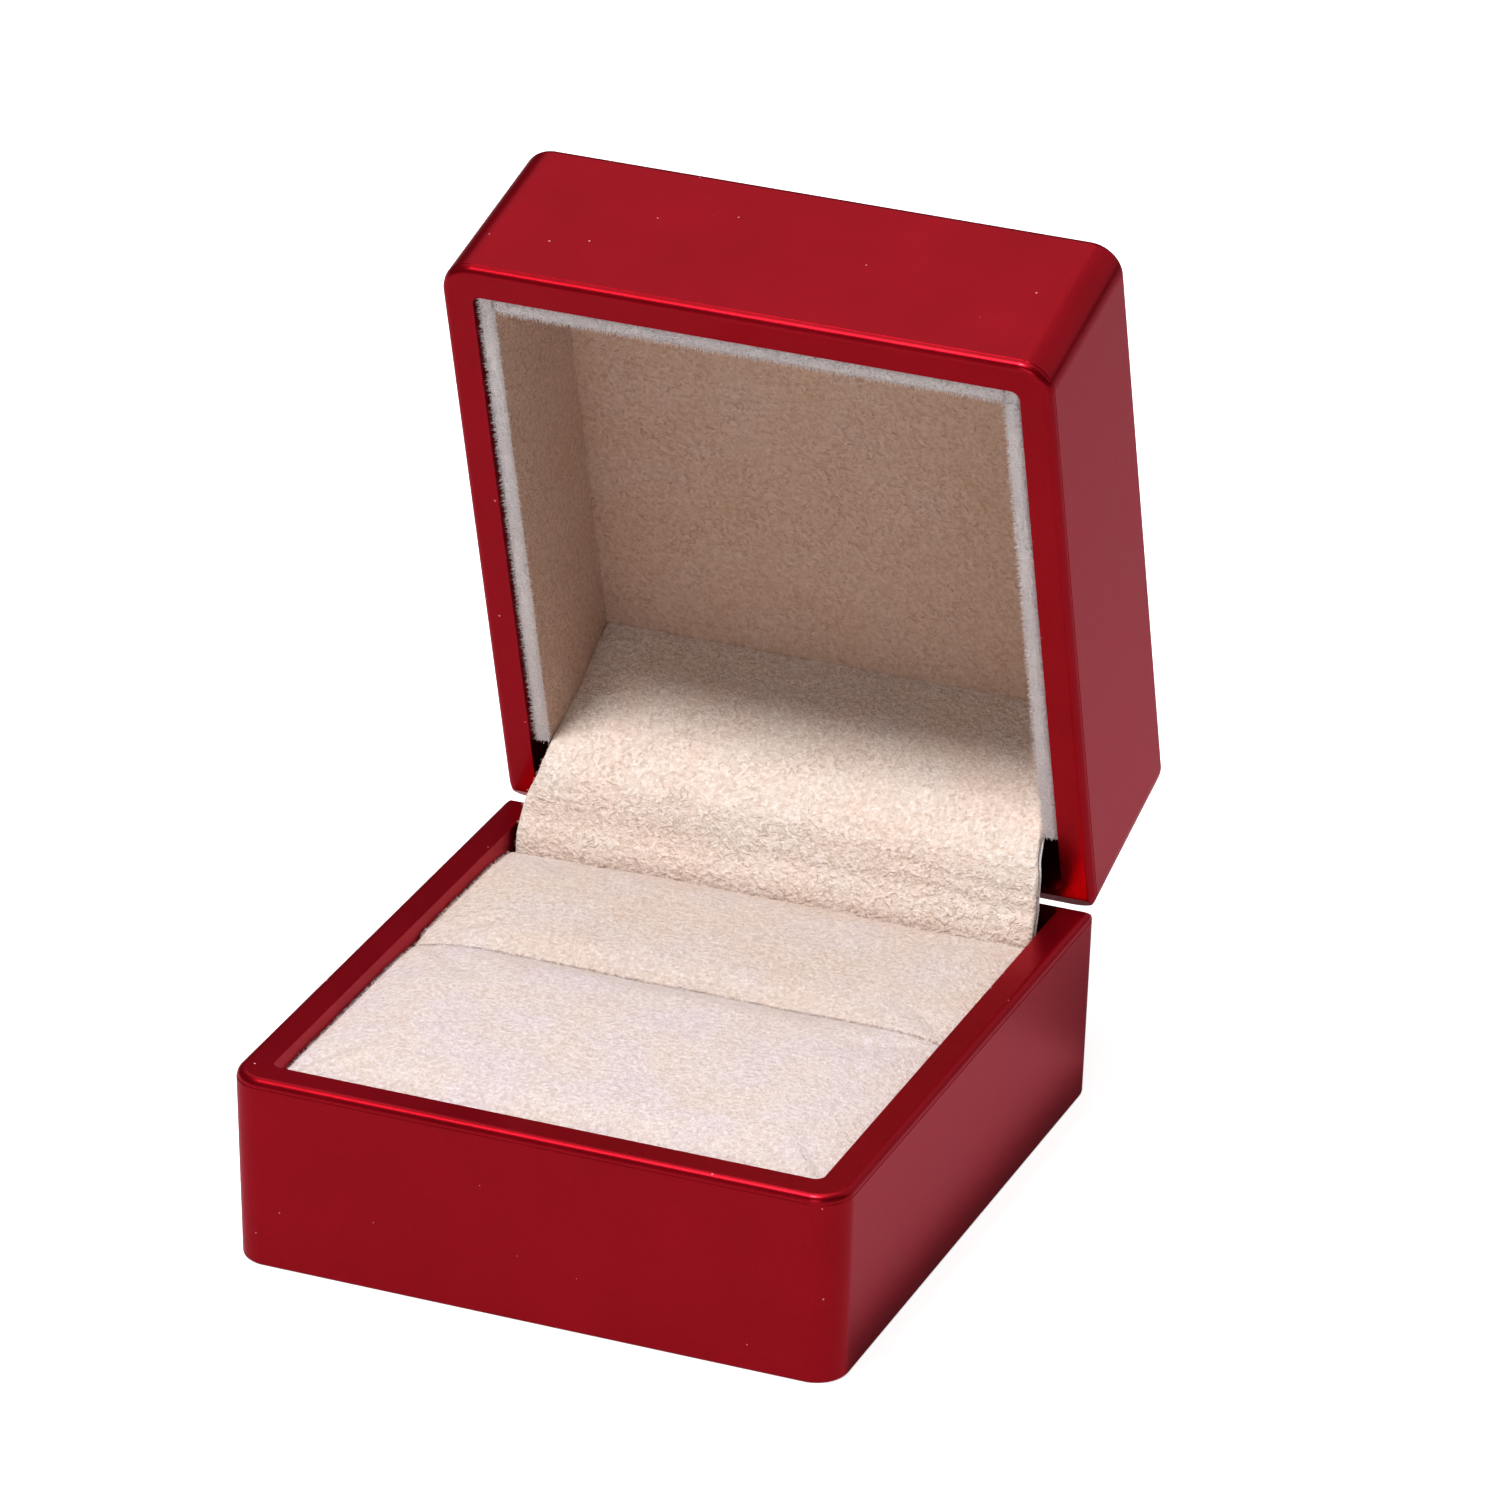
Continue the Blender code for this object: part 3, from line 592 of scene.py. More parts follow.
@dataclass(frozen=True)
class LacquerFinish:
    """Deep red satin lacquer with fine metal flake, faint orange peel and stray lint."""

    deep: Colour = (0.28, 0.0025, 0.008, 1.0)
    bright: Colour = (0.36, 0.004, 0.012, 1.0)
    lint: Colour = (0.85, 0.42, 0.45, 1.0)
    edge_tint: Colour = (1.0, 0.55, 0.62, 1.0)
    metallic: float = 0.8
    roughness: tuple[float, float] = (0.27, 0.35)
    specular_level: float = 0.12
    coat: float = 0.07
    coat_roughness: float = 0.12
    peel_scale: float = 900.0
    peel_height: float = 0.004 * MM
    flake_scale: float = 6000.0
    cloud_scale: float = 120.0
    cloud_share: float = 0.35
    lint_spread: float = 850.0
    lint_size: float = 0.1

    def build(self, effects: EffectLibrary) -> bpy.types.Material:
        """Build the lacquer.

        Args:
            effects: the shared node groups.

        Returns:
            The material.
        """
        material, graph, shader = new_material("red_lacquer")
        place = graph.place()
        flake = place_group(
            graph, effects.nap, place, Clump=self.flake_scale, Patch=self.cloud_scale,
            Patch_Share=self.cloud_share,
        )["Value"]
        dust = place_group(
            graph, effects.dust, place, Spread=self.lint_spread, Size=self.lint_size
        )["Mask"]
        peel = graph.cloud(place, self.peel_scale, detail=1.0)
        red = graph.mix_colour(flake, self.deep, self.bright)
        colour = graph.mix_colour(dust, red, self.lint)
        rough = graph.math("MAXIMUM", graph.remap(flake, UNIT, self.roughness), dust)
        wire_surface(graph, shader, colour, rough, peel, self.peel_height)
        shader.inputs["Metallic"].default_value = self.metallic
        shader.inputs["Specular IOR Level"].default_value = self.specular_level
        shader.inputs["Specular Tint"].default_value = self.edge_tint
        shader.inputs["Coat Weight"].default_value = self.coat
        shader.inputs["Coat Roughness"].default_value = self.coat_roughness
        return material


@dataclass(frozen=True)
class VelvetFinish:
    """Short-pile cream velvet: clumped nap over broad brushed patches, with a soft sheen; its
    colour is darker and warmer in the nap's hollows and creases as painted shade, and paler at its
    bright points as painted glints.
    """

    name: str
    pile: Colour
    tint: Colour
    crease: float = 0.5
    glints: float = 0.2
    clump_scale: float = 2000.0
    patch_scale: float = 260.0
    patch_share: float = 0.12
    tint_scale: float = 170.0
    tint_reach: tuple[float, float] = (0.35, 0.65)
    # Painted shade of the nap's hollows and creases, and painted glint of its bright points.
    pit_shade: Colour = (0.78, 0.70, 0.63, 1.0)
    glint: Colour = (1.08, 1.09, 1.09, 1.0)
    nap_height: float = 0.13 * MM
    roughness: tuple[float, float] = (1.0, 0.86)
    specular_level: float = 0.15
    sheen: float = 0.3
    sheen_roughness: float = 0.45
    sheen_tint: Colour = (1.0, 0.96, 0.93, 1.0)

    def build(self, effects: EffectLibrary) -> bpy.types.Material:
        """Build the velvet.

        Args:
            effects: the shared node groups.

        Returns:
            The material.
        """
        material, graph, shader = new_material(self.name)
        place = graph.place()
        nap = place_group(
            graph, effects.nap, place, Clump=self.clump_scale, Patch=self.patch_scale,
            Patch_Share=self.patch_share, Crease=self.crease, Tips=self.glints,
        )
        share = graph.remap(graph.cloud(place, self.tint_scale), self.tint_reach, UNIT)
        dyed = graph.mix_colour(share, self.pile, self.tint)
        # Colour level: darker and warmer in the nap's hollows and creases, painted shade, and paler
        # at its bright points, painted glints.
        level = graph.mix_colour(nap["Value"], self.pit_shade, self.glint)
        colour = graph.node(
            "ShaderNodeVectorMath", {0: dyed, 1: level}, operation="MULTIPLY"
        ).outputs[0]
        rough = graph.remap(nap["Value"], UNIT, self.roughness)
        wire_surface(graph, shader, colour, rough, nap["Height"], self.nap_height)
        shader.inputs["Specular IOR Level"].default_value = self.specular_level
        shader.inputs["Sheen Weight"].default_value = self.sheen
        shader.inputs["Sheen Roughness"].default_value = self.sheen_roughness
        shader.inputs["Sheen Tint"].default_value = self.sheen_tint
        return material


@dataclass(frozen=True)
class BackingFinish:
    """Plain white woven cloth, which reads the cloth's own UV map."""

    dark: Colour = (0.78, 0.77, 0.78, 1.0)
    light: Colour = (0.95, 0.95, 0.94, 1.0)
    roughness: tuple[float, float] = (0.95, 0.8)
    threads: float = 2600.0
    thread_height: float = 0.03 * MM

    def build(self, effects: EffectLibrary) -> bpy.types.Material:
        """Build the woven cloth.

        Args:
            effects: the shared node groups.

        Returns:
            The material.
        """
        material, graph, shader = new_material("white_backing")
        flat = graph.node("ShaderNodeUVMap", uv_map=CLOTH_UV).outputs[0]
        weave = place_group(graph, effects.weave, flat, Threads=self.threads)
        colour = graph.mix_colour(weave["Value"], self.dark, self.light)
        rough = graph.remap(weave["Value"], UNIT, self.roughness)
        wire_surface(graph, shader, colour, rough, weave["Height"], self.thread_height)
        return material


@dataclass(frozen=True)
class PulpFinish:
    """Greyboard or open-cell foam: a matt clumped surface of one stuff."""

    name: str
    dark: Colour
    light: Colour
    clump_scale: float
    clump_height: float
    patch_scale: float = 180.0
    patch_share: float = 0.3
    roughness: tuple[float, float] = (0.98, 0.85)

    def build(self, effects: EffectLibrary) -> bpy.types.Material:
        """Build the board or foam.

        Args:
            effects: the shared node groups.

        Returns:
            The material.
        """
        material, graph, shader = new_material(self.name)
        pulp = place_group(
            graph, effects.nap, graph.place(), Clump=self.clump_scale, Patch=self.patch_scale,
            Patch_Share=self.patch_share,
        )
        colour = graph.mix_colour(pulp["Value"], self.dark, self.light)
        rough = graph.remap(pulp["Value"], UNIT, self.roughness)
        wire_surface(graph, shader, colour, rough, pulp["Height"], self.clump_height)
        return material


@dataclass(frozen=True)
class SteelFinish:
    """Nickel-plated or spring steel with fine drawn lines and a few dull specks."""

    name: str
    dark: Colour
    light: Colour
    roughness: tuple[float, float]
    line_height: float = 0.002 * MM
    speck_spread: float = 1200.0
    speck_size: float = 0.12
    speck_roughness: float = 0.6

    def build(self, effects: EffectLibrary) -> bpy.types.Material:
        """Build the steel.

        Args:
            effects: the shared node groups.

        Returns:
            The material.
        """
        material, graph, shader = new_material(self.name)
        place = graph.place()
        lines = place_group(graph, effects.brushed, place)
        specks = place_group(
            graph, effects.dust, place, Spread=self.speck_spread, Size=self.speck_size
        )["Mask"]
        steel = graph.mix_colour(lines["Value"], self.dark, self.light)
        colour = graph.mix_colour(specks, steel, self.dark)
        drawn = graph.remap(lines["Value"], UNIT, self.roughness)
        rough = graph.math("MAXIMUM", drawn, graph.math("MULTIPLY", specks, self.speck_roughness))
        wire_surface(graph, shader, colour, rough, lines["Height"], self.line_height)
        shader.inputs["Metallic"].default_value = 1.0
        return material


class FinishSet:
    """Every material of the box."""

    def __init__(self) -> None:
        """Build the shared effects and then each finish."""
        effects = EffectLibrary()
        self.lacquer = LacquerFinish().build(effects)
        # The pads are tinted copies of the one cream velvet: the front pad's cooler, lavender tint
        # and the rear pad's warmer, peach tint are painted light colour, cool light from above on
        # the front pad and warmer light on the rear pad.
        self.front_pad_velvet = VelvetFinish(
            "front_pad_velvet", (0.73, 0.63, 0.60, 1.0), (0.72, 0.63, 0.65, 1.0),
            crease=0.15, glints=0.5,
        ).build(effects)
        self.rear_pad_velvet = VelvetFinish(
            "rear_pad_velvet", (0.74, 0.62, 0.56, 1.0), (0.73, 0.63, 0.61, 1.0),
            crease=0.2, glints=0.5,
        ).build(effects)
        # A darker, browner copy of the cream velvet for the lid's liners and panel: painted shade
        # of the lid's hollow, warmed as by bounce light.
        self.shaded_lining_velvet = VelvetFinish(
            "shaded_lining_velvet", (0.65, 0.445, 0.34, 1.0), (0.66, 0.47, 0.375, 1.0)
        ).build(effects)
        # The curtain's copy of the cream velvet is paler and peachier: painted light, warm from the
        # front and lifted on its steep face, which the lamps light less.
        self.curtain_velvet = VelvetFinish(
            "curtain_velvet", (0.87, 0.73, 0.655, 1.0), (0.87, 0.77, 0.71, 1.0),
            nap_height=0.12 * MM, crease=0.5, glints=0.45,
        ).build(effects)
        # A near-white copy of the cream velvet for the liners' folded borders and their pile:
        # painted light on the borders.
        self.lit_border_pile = VelvetFinish(
            "lit_border_pile", (0.93, 0.88, 0.865, 1.0), (0.92, 0.87, 0.88, 1.0),
            crease=0.0, pit_shade=(0.97, 0.96, 0.96, 1.0), glint=(1.06, 1.06, 1.06, 1.0), sheen=1.0,
        ).build(effects)
        self.backing = BackingFinish().build(effects)
        self.board = PulpFinish(
            "grey_board", (0.26, 0.23, 0.19, 1.0), (0.40, 0.36, 0.31, 1.0),
            clump_scale=2200.0, clump_height=0.03 * MM,
        ).build(effects)
        self.foam = PulpFinish(
            "white_foam", (0.58, 0.56, 0.50, 1.0), (0.84, 0.82, 0.77, 1.0),
            clump_scale=1600.0, clump_height=0.12 * MM,
        ).build(effects)
        self.steel = SteelFinish(
            "plated_steel", (0.46, 0.45, 0.43, 1.0), (0.64, 0.62, 0.59, 1.0),
            roughness=(0.24, 0.38),
        ).build(effects)
        self.spring = SteelFinish(
            "spring_steel", (0.20, 0.20, 0.22, 1.0), (0.34, 0.34, 0.37, 1.0),
            roughness=(0.28, 0.42),
        ).build(effects)


# ---------------------------------------------------------------- shells


@dataclass
class ShellSet:
    """The lacquered base and lid shells, moulded as near twins."""

    corner_radius: float = 3.16 * MM
    rim_fillet: float = 0.8 * MM
    lid_top_fillet: float = 1.1 * MM
    foot_chamfer: float = 0.3 * MM
    parting_step: float = 0.05 * MM
    parting_height: float = 0.07 * MM
    parting_below_rim: float = 0.84 * MM
    cavity_corner_radius: float = 0.9 * MM
    floor: float = 2.5 * MM
    overrun: float = 2.0 * MM
    base_relief: float = 2.8 * MM
    lid_relief: float = 2.44 * MM
    notch_half_width: float = 15.6 * MM
    notch_reach: float = 1.6 * MM
    screw_x: float = 9.5 * MM
    screw_from_axis: float = 7.0 * MM
    screw_hole_radius: float = 1.1 * MM
    screw_hole_end_y: float = 31.3 * MM
    edge_round: float = 0.14 * MM
    round_angle: float = math.radians(42)
    corner_segments: int = 16
    fillet_segments: int = 10
    fine_segments: int = 3
    hole_segments: int = 32

    def slab(self, half_x: float, half_y: float, wide_z: float, narrow_z: float,
             corner_radius: float) -> bmesh.types.BMesh:
        """Make a round-cornered slab that narrows by the draft.

        Args:
            half_x: half the width at wide_z.
            half_y: half the depth at wide_z.
            wide_z: height of the wide end.
            narrow_z: height of the narrow end.
            corner_radius: radius of the upright corners.

        Returns:
            The slab.
        """
        low, high = sorted((wide_z, narrow_z))
        bm = box((-half_x, -half_y, low), (half_x, half_y, high))
        bevel(bm, upright_edges(bm), corner_radius, self.corner_segments)
        inset = abs(narrow_z - wide_z) * math.tan(SIZES.draft)
        shrink = Vector(((half_x - inset) / half_x, (half_y - inset) / half_y, 1.0))
        far = [v for v in bm.verts if abs(v.co.z - narrow_z) < SAME_PLACE]
        bmesh.ops.scale(bm, verts=far, vec=shrink)
        return bm

    def outer_form(self, rim_z: float, end_z: float, end_fillet: float,
                   end_segments: int) -> bmesh.types.BMesh:
        """Make a shell's outer form, with the fine parting step under its rim fillet.

        Args:
            rim_z: height of the rim.
            end_z: height of the closed end.
            end_fillet: width of the closed end's rounding.
            end_segments: how many faces that rounding has.

        Returns:
            The solid outer form.
        """
        half_x = SIZES.width / 2
        half_y = SIZES.depth / 2
        bm = self.slab(half_x, half_y, rim_z, end_z, self.corner_radius)
        away = math.copysign(1.0, end_z - rim_z)
        step_top = rim_z + away * self.parting_below_rim
        for z in (step_top, step_top + away * self.parting_height):
            cut = bm.verts[:] + bm.edges[:] + bm.faces[:]
            bmesh.ops.bisect_plane(bm, geom=cut, plane_co=(0.0, 0.0, z), plane_no=(0.0, 0.0, 1.0))
        band = [v for v in bm.verts if (v.co.z - step_top) * away < SAME_PLACE]
        shrink = (1 - self.parting_step / half_x, 1 - self.parting_step / half_y, 1.0)
        bmesh.ops.scale(bm, verts=band, vec=shrink)
        bevel(bm, level_edges(bm, rim_z), self.rim_fillet, self.fillet_segments)
        bevel(bm, level_edges(bm, end_z), end_fillet, end_segments)
        return bm

    def relief_cutter(self, rim_z: float, length: float, upward: int) -> bmesh.types.BMesh:
        """Make the wedge that slopes a rear rim away by half the opening angle.

        Args:
            rim_z: height of the rim.
            length: how far the slope runs along the rim.
            upward: 1 for the lid, -1 for the base.

        Returns:
            The wedge.
        """
        rear = SIZES.depth / 2
        drop = (length + self.overrun) * math.tan(SIZES.open_angle / 2) * upward
        beyond = self.overrun * upward
        outline = [
            (rear - length, rim_z),
            (rear + self.overrun, rim_z + drop),
            (rear + self.overrun, rim_z - beyond),
            (rear - length, rim_z - beyond),
        ]
        return prism(outline, -SIZES.width, SIZES.width)

    def notch_cutter(self, low_z: float, high_z: float) -> bmesh.types.BMesh:
        """Make the block that opens the rear wall for the hinge's knuckles.

        Args:
            low_z: height of its underside.
            high_z: height of its top.

        Returns:
            The block.
        """
        front_y = SIZES.depth / 2 - SIZES.wall - self.overrun
        rear_y = SIZES.depth / 2 + self.overrun
        half = self.notch_half_width
        return box((-half, front_y, low_z), (half, rear_y, high_z))

    def screw_hole(self, x: float, z: float) -> bmesh.types.BMesh:
        """Make the pilot hole of a hinge screw in a rear wall.

        Args:
            x: the hole's place across the box.
            z: its height.

        Returns:
            The cylinder to cut away.
        """
        front_y = SIZES.depth / 2 - SIZES.wall - self.overrun
        middle = Vector((x, (front_y + self.screw_hole_end_y) / 2, z))
        bm = bmesh.new()
        bmesh.ops.create_cone(
            bm,
            cap_ends=True,
            segments=self.hole_segments,
            radius1=self.screw_hole_radius,
            radius2=self.screw_hole_radius,
            depth=self.screw_hole_end_y - front_y,
            matrix=Matrix.Translation(middle) @ Matrix.Rotation(math.pi / 2, 4, "X"),
        )
        return bm

    def hollow(self, rim_z: float, floor_z: float) -> bmesh.types.BMesh:
        """Make the cutter of a shell's hollow, from beyond its rim to its floor.

        Args:
            rim_z: height of the rim.
            floor_z: height of the hollow's floor.

        Returns:
            The slab to cut away.
        """
        away = math.copysign(1.0, rim_z - floor_z)
        mouth = rim_z + away * self.overrun
        spread = self.overrun * math.tan(SIZES.draft) - SIZES.wall
        half_x = SIZES.width / 2 + spread
        half_y = SIZES.depth / 2 + spread
        return self.slab(half_x, half_y, mouth, floor_z, self.cavity_corner_radius)

    def polish(self, obj: bpy.types.Object) -> None:
        """Break a shell's crisp edges and even out its shading.

        Args:
            obj: the shell.
        """
        rounding = obj.modifiers.new("Broken edges", "BEVEL")
        rounding.width = self.edge_round
        rounding.segments = self.fine_segments
        rounding.limit_method = "ANGLE"
        rounding.angle_limit = self.round_angle
        rounding.use_clamp_overlap = True
        normals = obj.modifiers.new("Even shading", "WEIGHTED_NORMAL")
        normals.keep_sharp = True

    def build_base(self, finishes: FinishSet) -> bpy.types.Object:
        """Build the base shell and let it ride on the base.

        Args:
            finishes: the materials.

        Returns:
            The base shell.
        """
        rim_z = SIZES.base_height
        outer = self.outer_form(rim_z, 0.0, self.foot_chamfer, self.fine_segments)
        cutters = [
            self.hollow(rim_z, self.floor),
            self.relief_cutter(rim_z, self.base_relief, -1),
            self.notch_cutter(SIZES.axis.z - self.notch_reach, rim_z + self.overrun),
        ]
        for x in (-self.screw_x, self.screw_x):
            cutters.append(self.screw_hole(x, SIZES.axis.z - self.screw_from_axis))
        bm = carve(outer, cutters)
        shell = add_piece("base_box", bm, finishes.lacquer, ["base_shell"])
        self.polish(shell)
        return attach(shell, Body.BASE.value)

    def build_lid(self, finishes: FinishSet) -> bpy.types.Object:
        """Build the lid shell, turned open, and let it ride on the lid.

        Args:
            finishes: the materials.

        Returns:
            The lid shell.
        """
        rim_z = SIZES.shut_rim_z
        top_z = rim_z + SIZES.lid_height
        outer = self.outer_form(rim_z, top_z, self.lid_top_fillet, self.fillet_segments)
        cutters = [
            self.hollow(rim_z, top_z - self.floor),
            self.relief_cutter(rim_z, self.lid_relief, 1),
            self.notch_cutter(rim_z - self.overrun, SIZES.axis.z + self.notch_reach),
        ]
        for x in (-self.screw_x, self.screw_x):
            cutters.append(self.screw_hole(x, SIZES.axis.z + self.screw_from_axis))
        bm = carve(outer, cutters)
        shell = add_piece(
            "lid_cover", bm, finishes.lacquer, ["lid_shell"], SIZES.turn_open
        )
        self.polish(shell)
        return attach(shell, Body.LID.value)


# ---------------------------------------------------------------- pile fibres


@dataclass
class PileFringe:
    """Loose pile fibres that stand out along the edges of a piece of velvet."""

    length: float = 0.22 * MM
    radius: float = 0.022 * MM
    taper: float = 0.3
    spacing: float = 0.09 * MM
    scatter: float = 0.12 * MM
    lean: float = 0.7
    buried: float = 0.15
    shortest: float = 0.4
    longest: float = 1.4
    sides: int = 3

    def tuft(self, start: Vector, end: Vector, outward: Vector,
             chance: random.Random) -> bmesh.types.BMesh:
        """Return the tapered fibres of one short stretch of an edge.

        Args:
            start: where the stretch starts.
            end: where it ends.
            outward: the way the fibres lean, on average.
            chance: the source of their random places and turns.

        Returns:
            The fibres.
        """
        bm = bmesh.new()
        run = end - start
        for _ in range(max(1, round(run.length / self.spacing))):
            stray = Vector([chance.uniform(-1.0, 1.0) for _ in range(3)])
            root = start + run * chance.random() + stray * self.scatter
            way = (outward + stray.yzx * self.lean).normalized()
            length = self.length * chance.uniform(self.shortest, self.longest)
            turn = way.to_track_quat("Z", "Y").to_matrix().to_4x4()
            middle = Matrix.Translation(root + way * length * (0.5 - self.buried))
            bmesh.ops.create_cone(
                bm,
                cap_ends=True,
                segments=self.sides,
                radius1=self.radius,
                radius2=self.radius * self.taper,
                depth=length,
                matrix=middle @ turn,
            )
        return bm

    def sow(self, bm: bmesh.types.BMesh, line: Sequence[Vector], outward: Vector,
            seed: int) -> None:
        """Add fibres along a line of points, one tuft for each stretch between two points.

        Args:
            bm: the fringe that the fibres join.
            line: the points of the edge, in order.
            outward: the way the fibres lean, on average.
            seed: the seed of their random places and turns.
        """
        chance = random.Random(seed)
        carrier = bpy.data.meshes.new("tuft")
        for start, end in zip(line, line[1:]):
            tuft = self.tuft(start, end, outward, chance)
            tuft.to_mesh(carrier)
            tuft.free()
            bm.from_mesh(carrier)
        bpy.data.meshes.remove(carrier)


# ---------------------------------------------------------------- ring pads


@dataclass
class PadSimulation:
    """Inflates a pad as cloth under pressure, on an enlarged copy."""

    enlarge: float = 10.0
    voxel: float = 0.6 * MM
    pressure: float = 4.0
    frames: int = 20
    cap: float = 0.8 * MM
    stretch: float = 60.0
    shear: float = 20.0
    bending: float = 2.0
    least_travel: float = 1e-9

    def remeshed(self, bm: bmesh.types.BMesh) -> bmesh.types.BMesh:
        """Remesh a shape evenly, by voxels.

        Args:
            bm: the shape, which is freed.

        Returns:
            The even copy.
        """
        rough = link_object("pad_rough", bm)
        remesh = rough.modifiers.new("Voxels", "REMESH")
        remesh.mode = "VOXEL"
        remesh.voxel_size = self.voxel
        even = evaluated_bmesh(rough)
        drop_object(rough)
        return even

    def inflate(
        self, bm: bmesh.types.BMesh, is_held: Callable[[Vector], bool]
    ) -> bmesh.types.BMesh:
        """Swell a shape with Cloth, hold back points that move too far, and subdivide it.

        Args:
            bm: the slack, evenly meshed shape, which is freed.
            is_held: tells whether the tray holds a point in its place.

        Returns:
            The swollen shape, back at its own size.
        """
        bm.verts.index_update()
        held = [v.index for v in bm.verts if is_held(v.co)]
        bmesh.ops.scale(bm, verts=bm.verts, vec=(self.enlarge,) * 3)
        pad = link_object("pad_even", bm)
        self.run_cloth(pad, held)
        smooth = pad.modifiers.new("Finer", "SUBSURF")
        smooth.levels = 1
        smooth.render_levels = 1
        swollen = evaluated_bmesh(pad)
        drop_object(pad)
        bmesh.ops.scale(swollen, verts=swollen.verts, vec=(1 / self.enlarge,) * 3)
        return swollen

    def run_cloth(self, pad: bpy.types.Object, held: Sequence[int]) -> None:
        """Run Cloth on the enlarged pad, and keep the result with its travel capped.

        Args:
            pad: the pad, whose mesh is changed.
            held: the indices of the points that are pinned.
        """
        pins = pad.vertex_groups.new(name="held")
        pins.add(list(held), 1.0, "REPLACE")
        cloth = pad.modifiers.new("Cloth", "CLOTH")
        cloth.settings.vertex_group_mass = pins.name
        cloth.settings.use_pressure = True
        cloth.settings.uniform_pressure_force = self.pressure
        cloth.settings.effector_weights.gravity = 0.0
        cloth.settings.bending_stiffness = self.bending
        cloth.settings.tension_stiffness = self.stretch
        cloth.settings.compression_stiffness = self.stretch
        cloth.settings.shear_stiffness = self.shear
        scene = bpy.context.scene
        for step in range(1, self.frames + 1):
            scene.frame_set(step)
        swollen = evaluated_bmesh(pad)
        moved = np.array([v.co for v in swollen.verts])
        swollen.free()
        scene.frame_set(1)
        pad.modifiers.remove(cloth)
        start = np.array([v.co for v in pad.data.vertices])
        travel = moved - start
        length = np.linalg.norm(travel, axis=1, keepdims=True)
        limit = self.cap * self.enlarge
        kept = start + travel * np.minimum(1.0, limit / np.maximum(length, self.least_travel))
        pad.data.vertices.foreach_set("co", kept.astype(np.float32).ravel())
        pad.data.update()


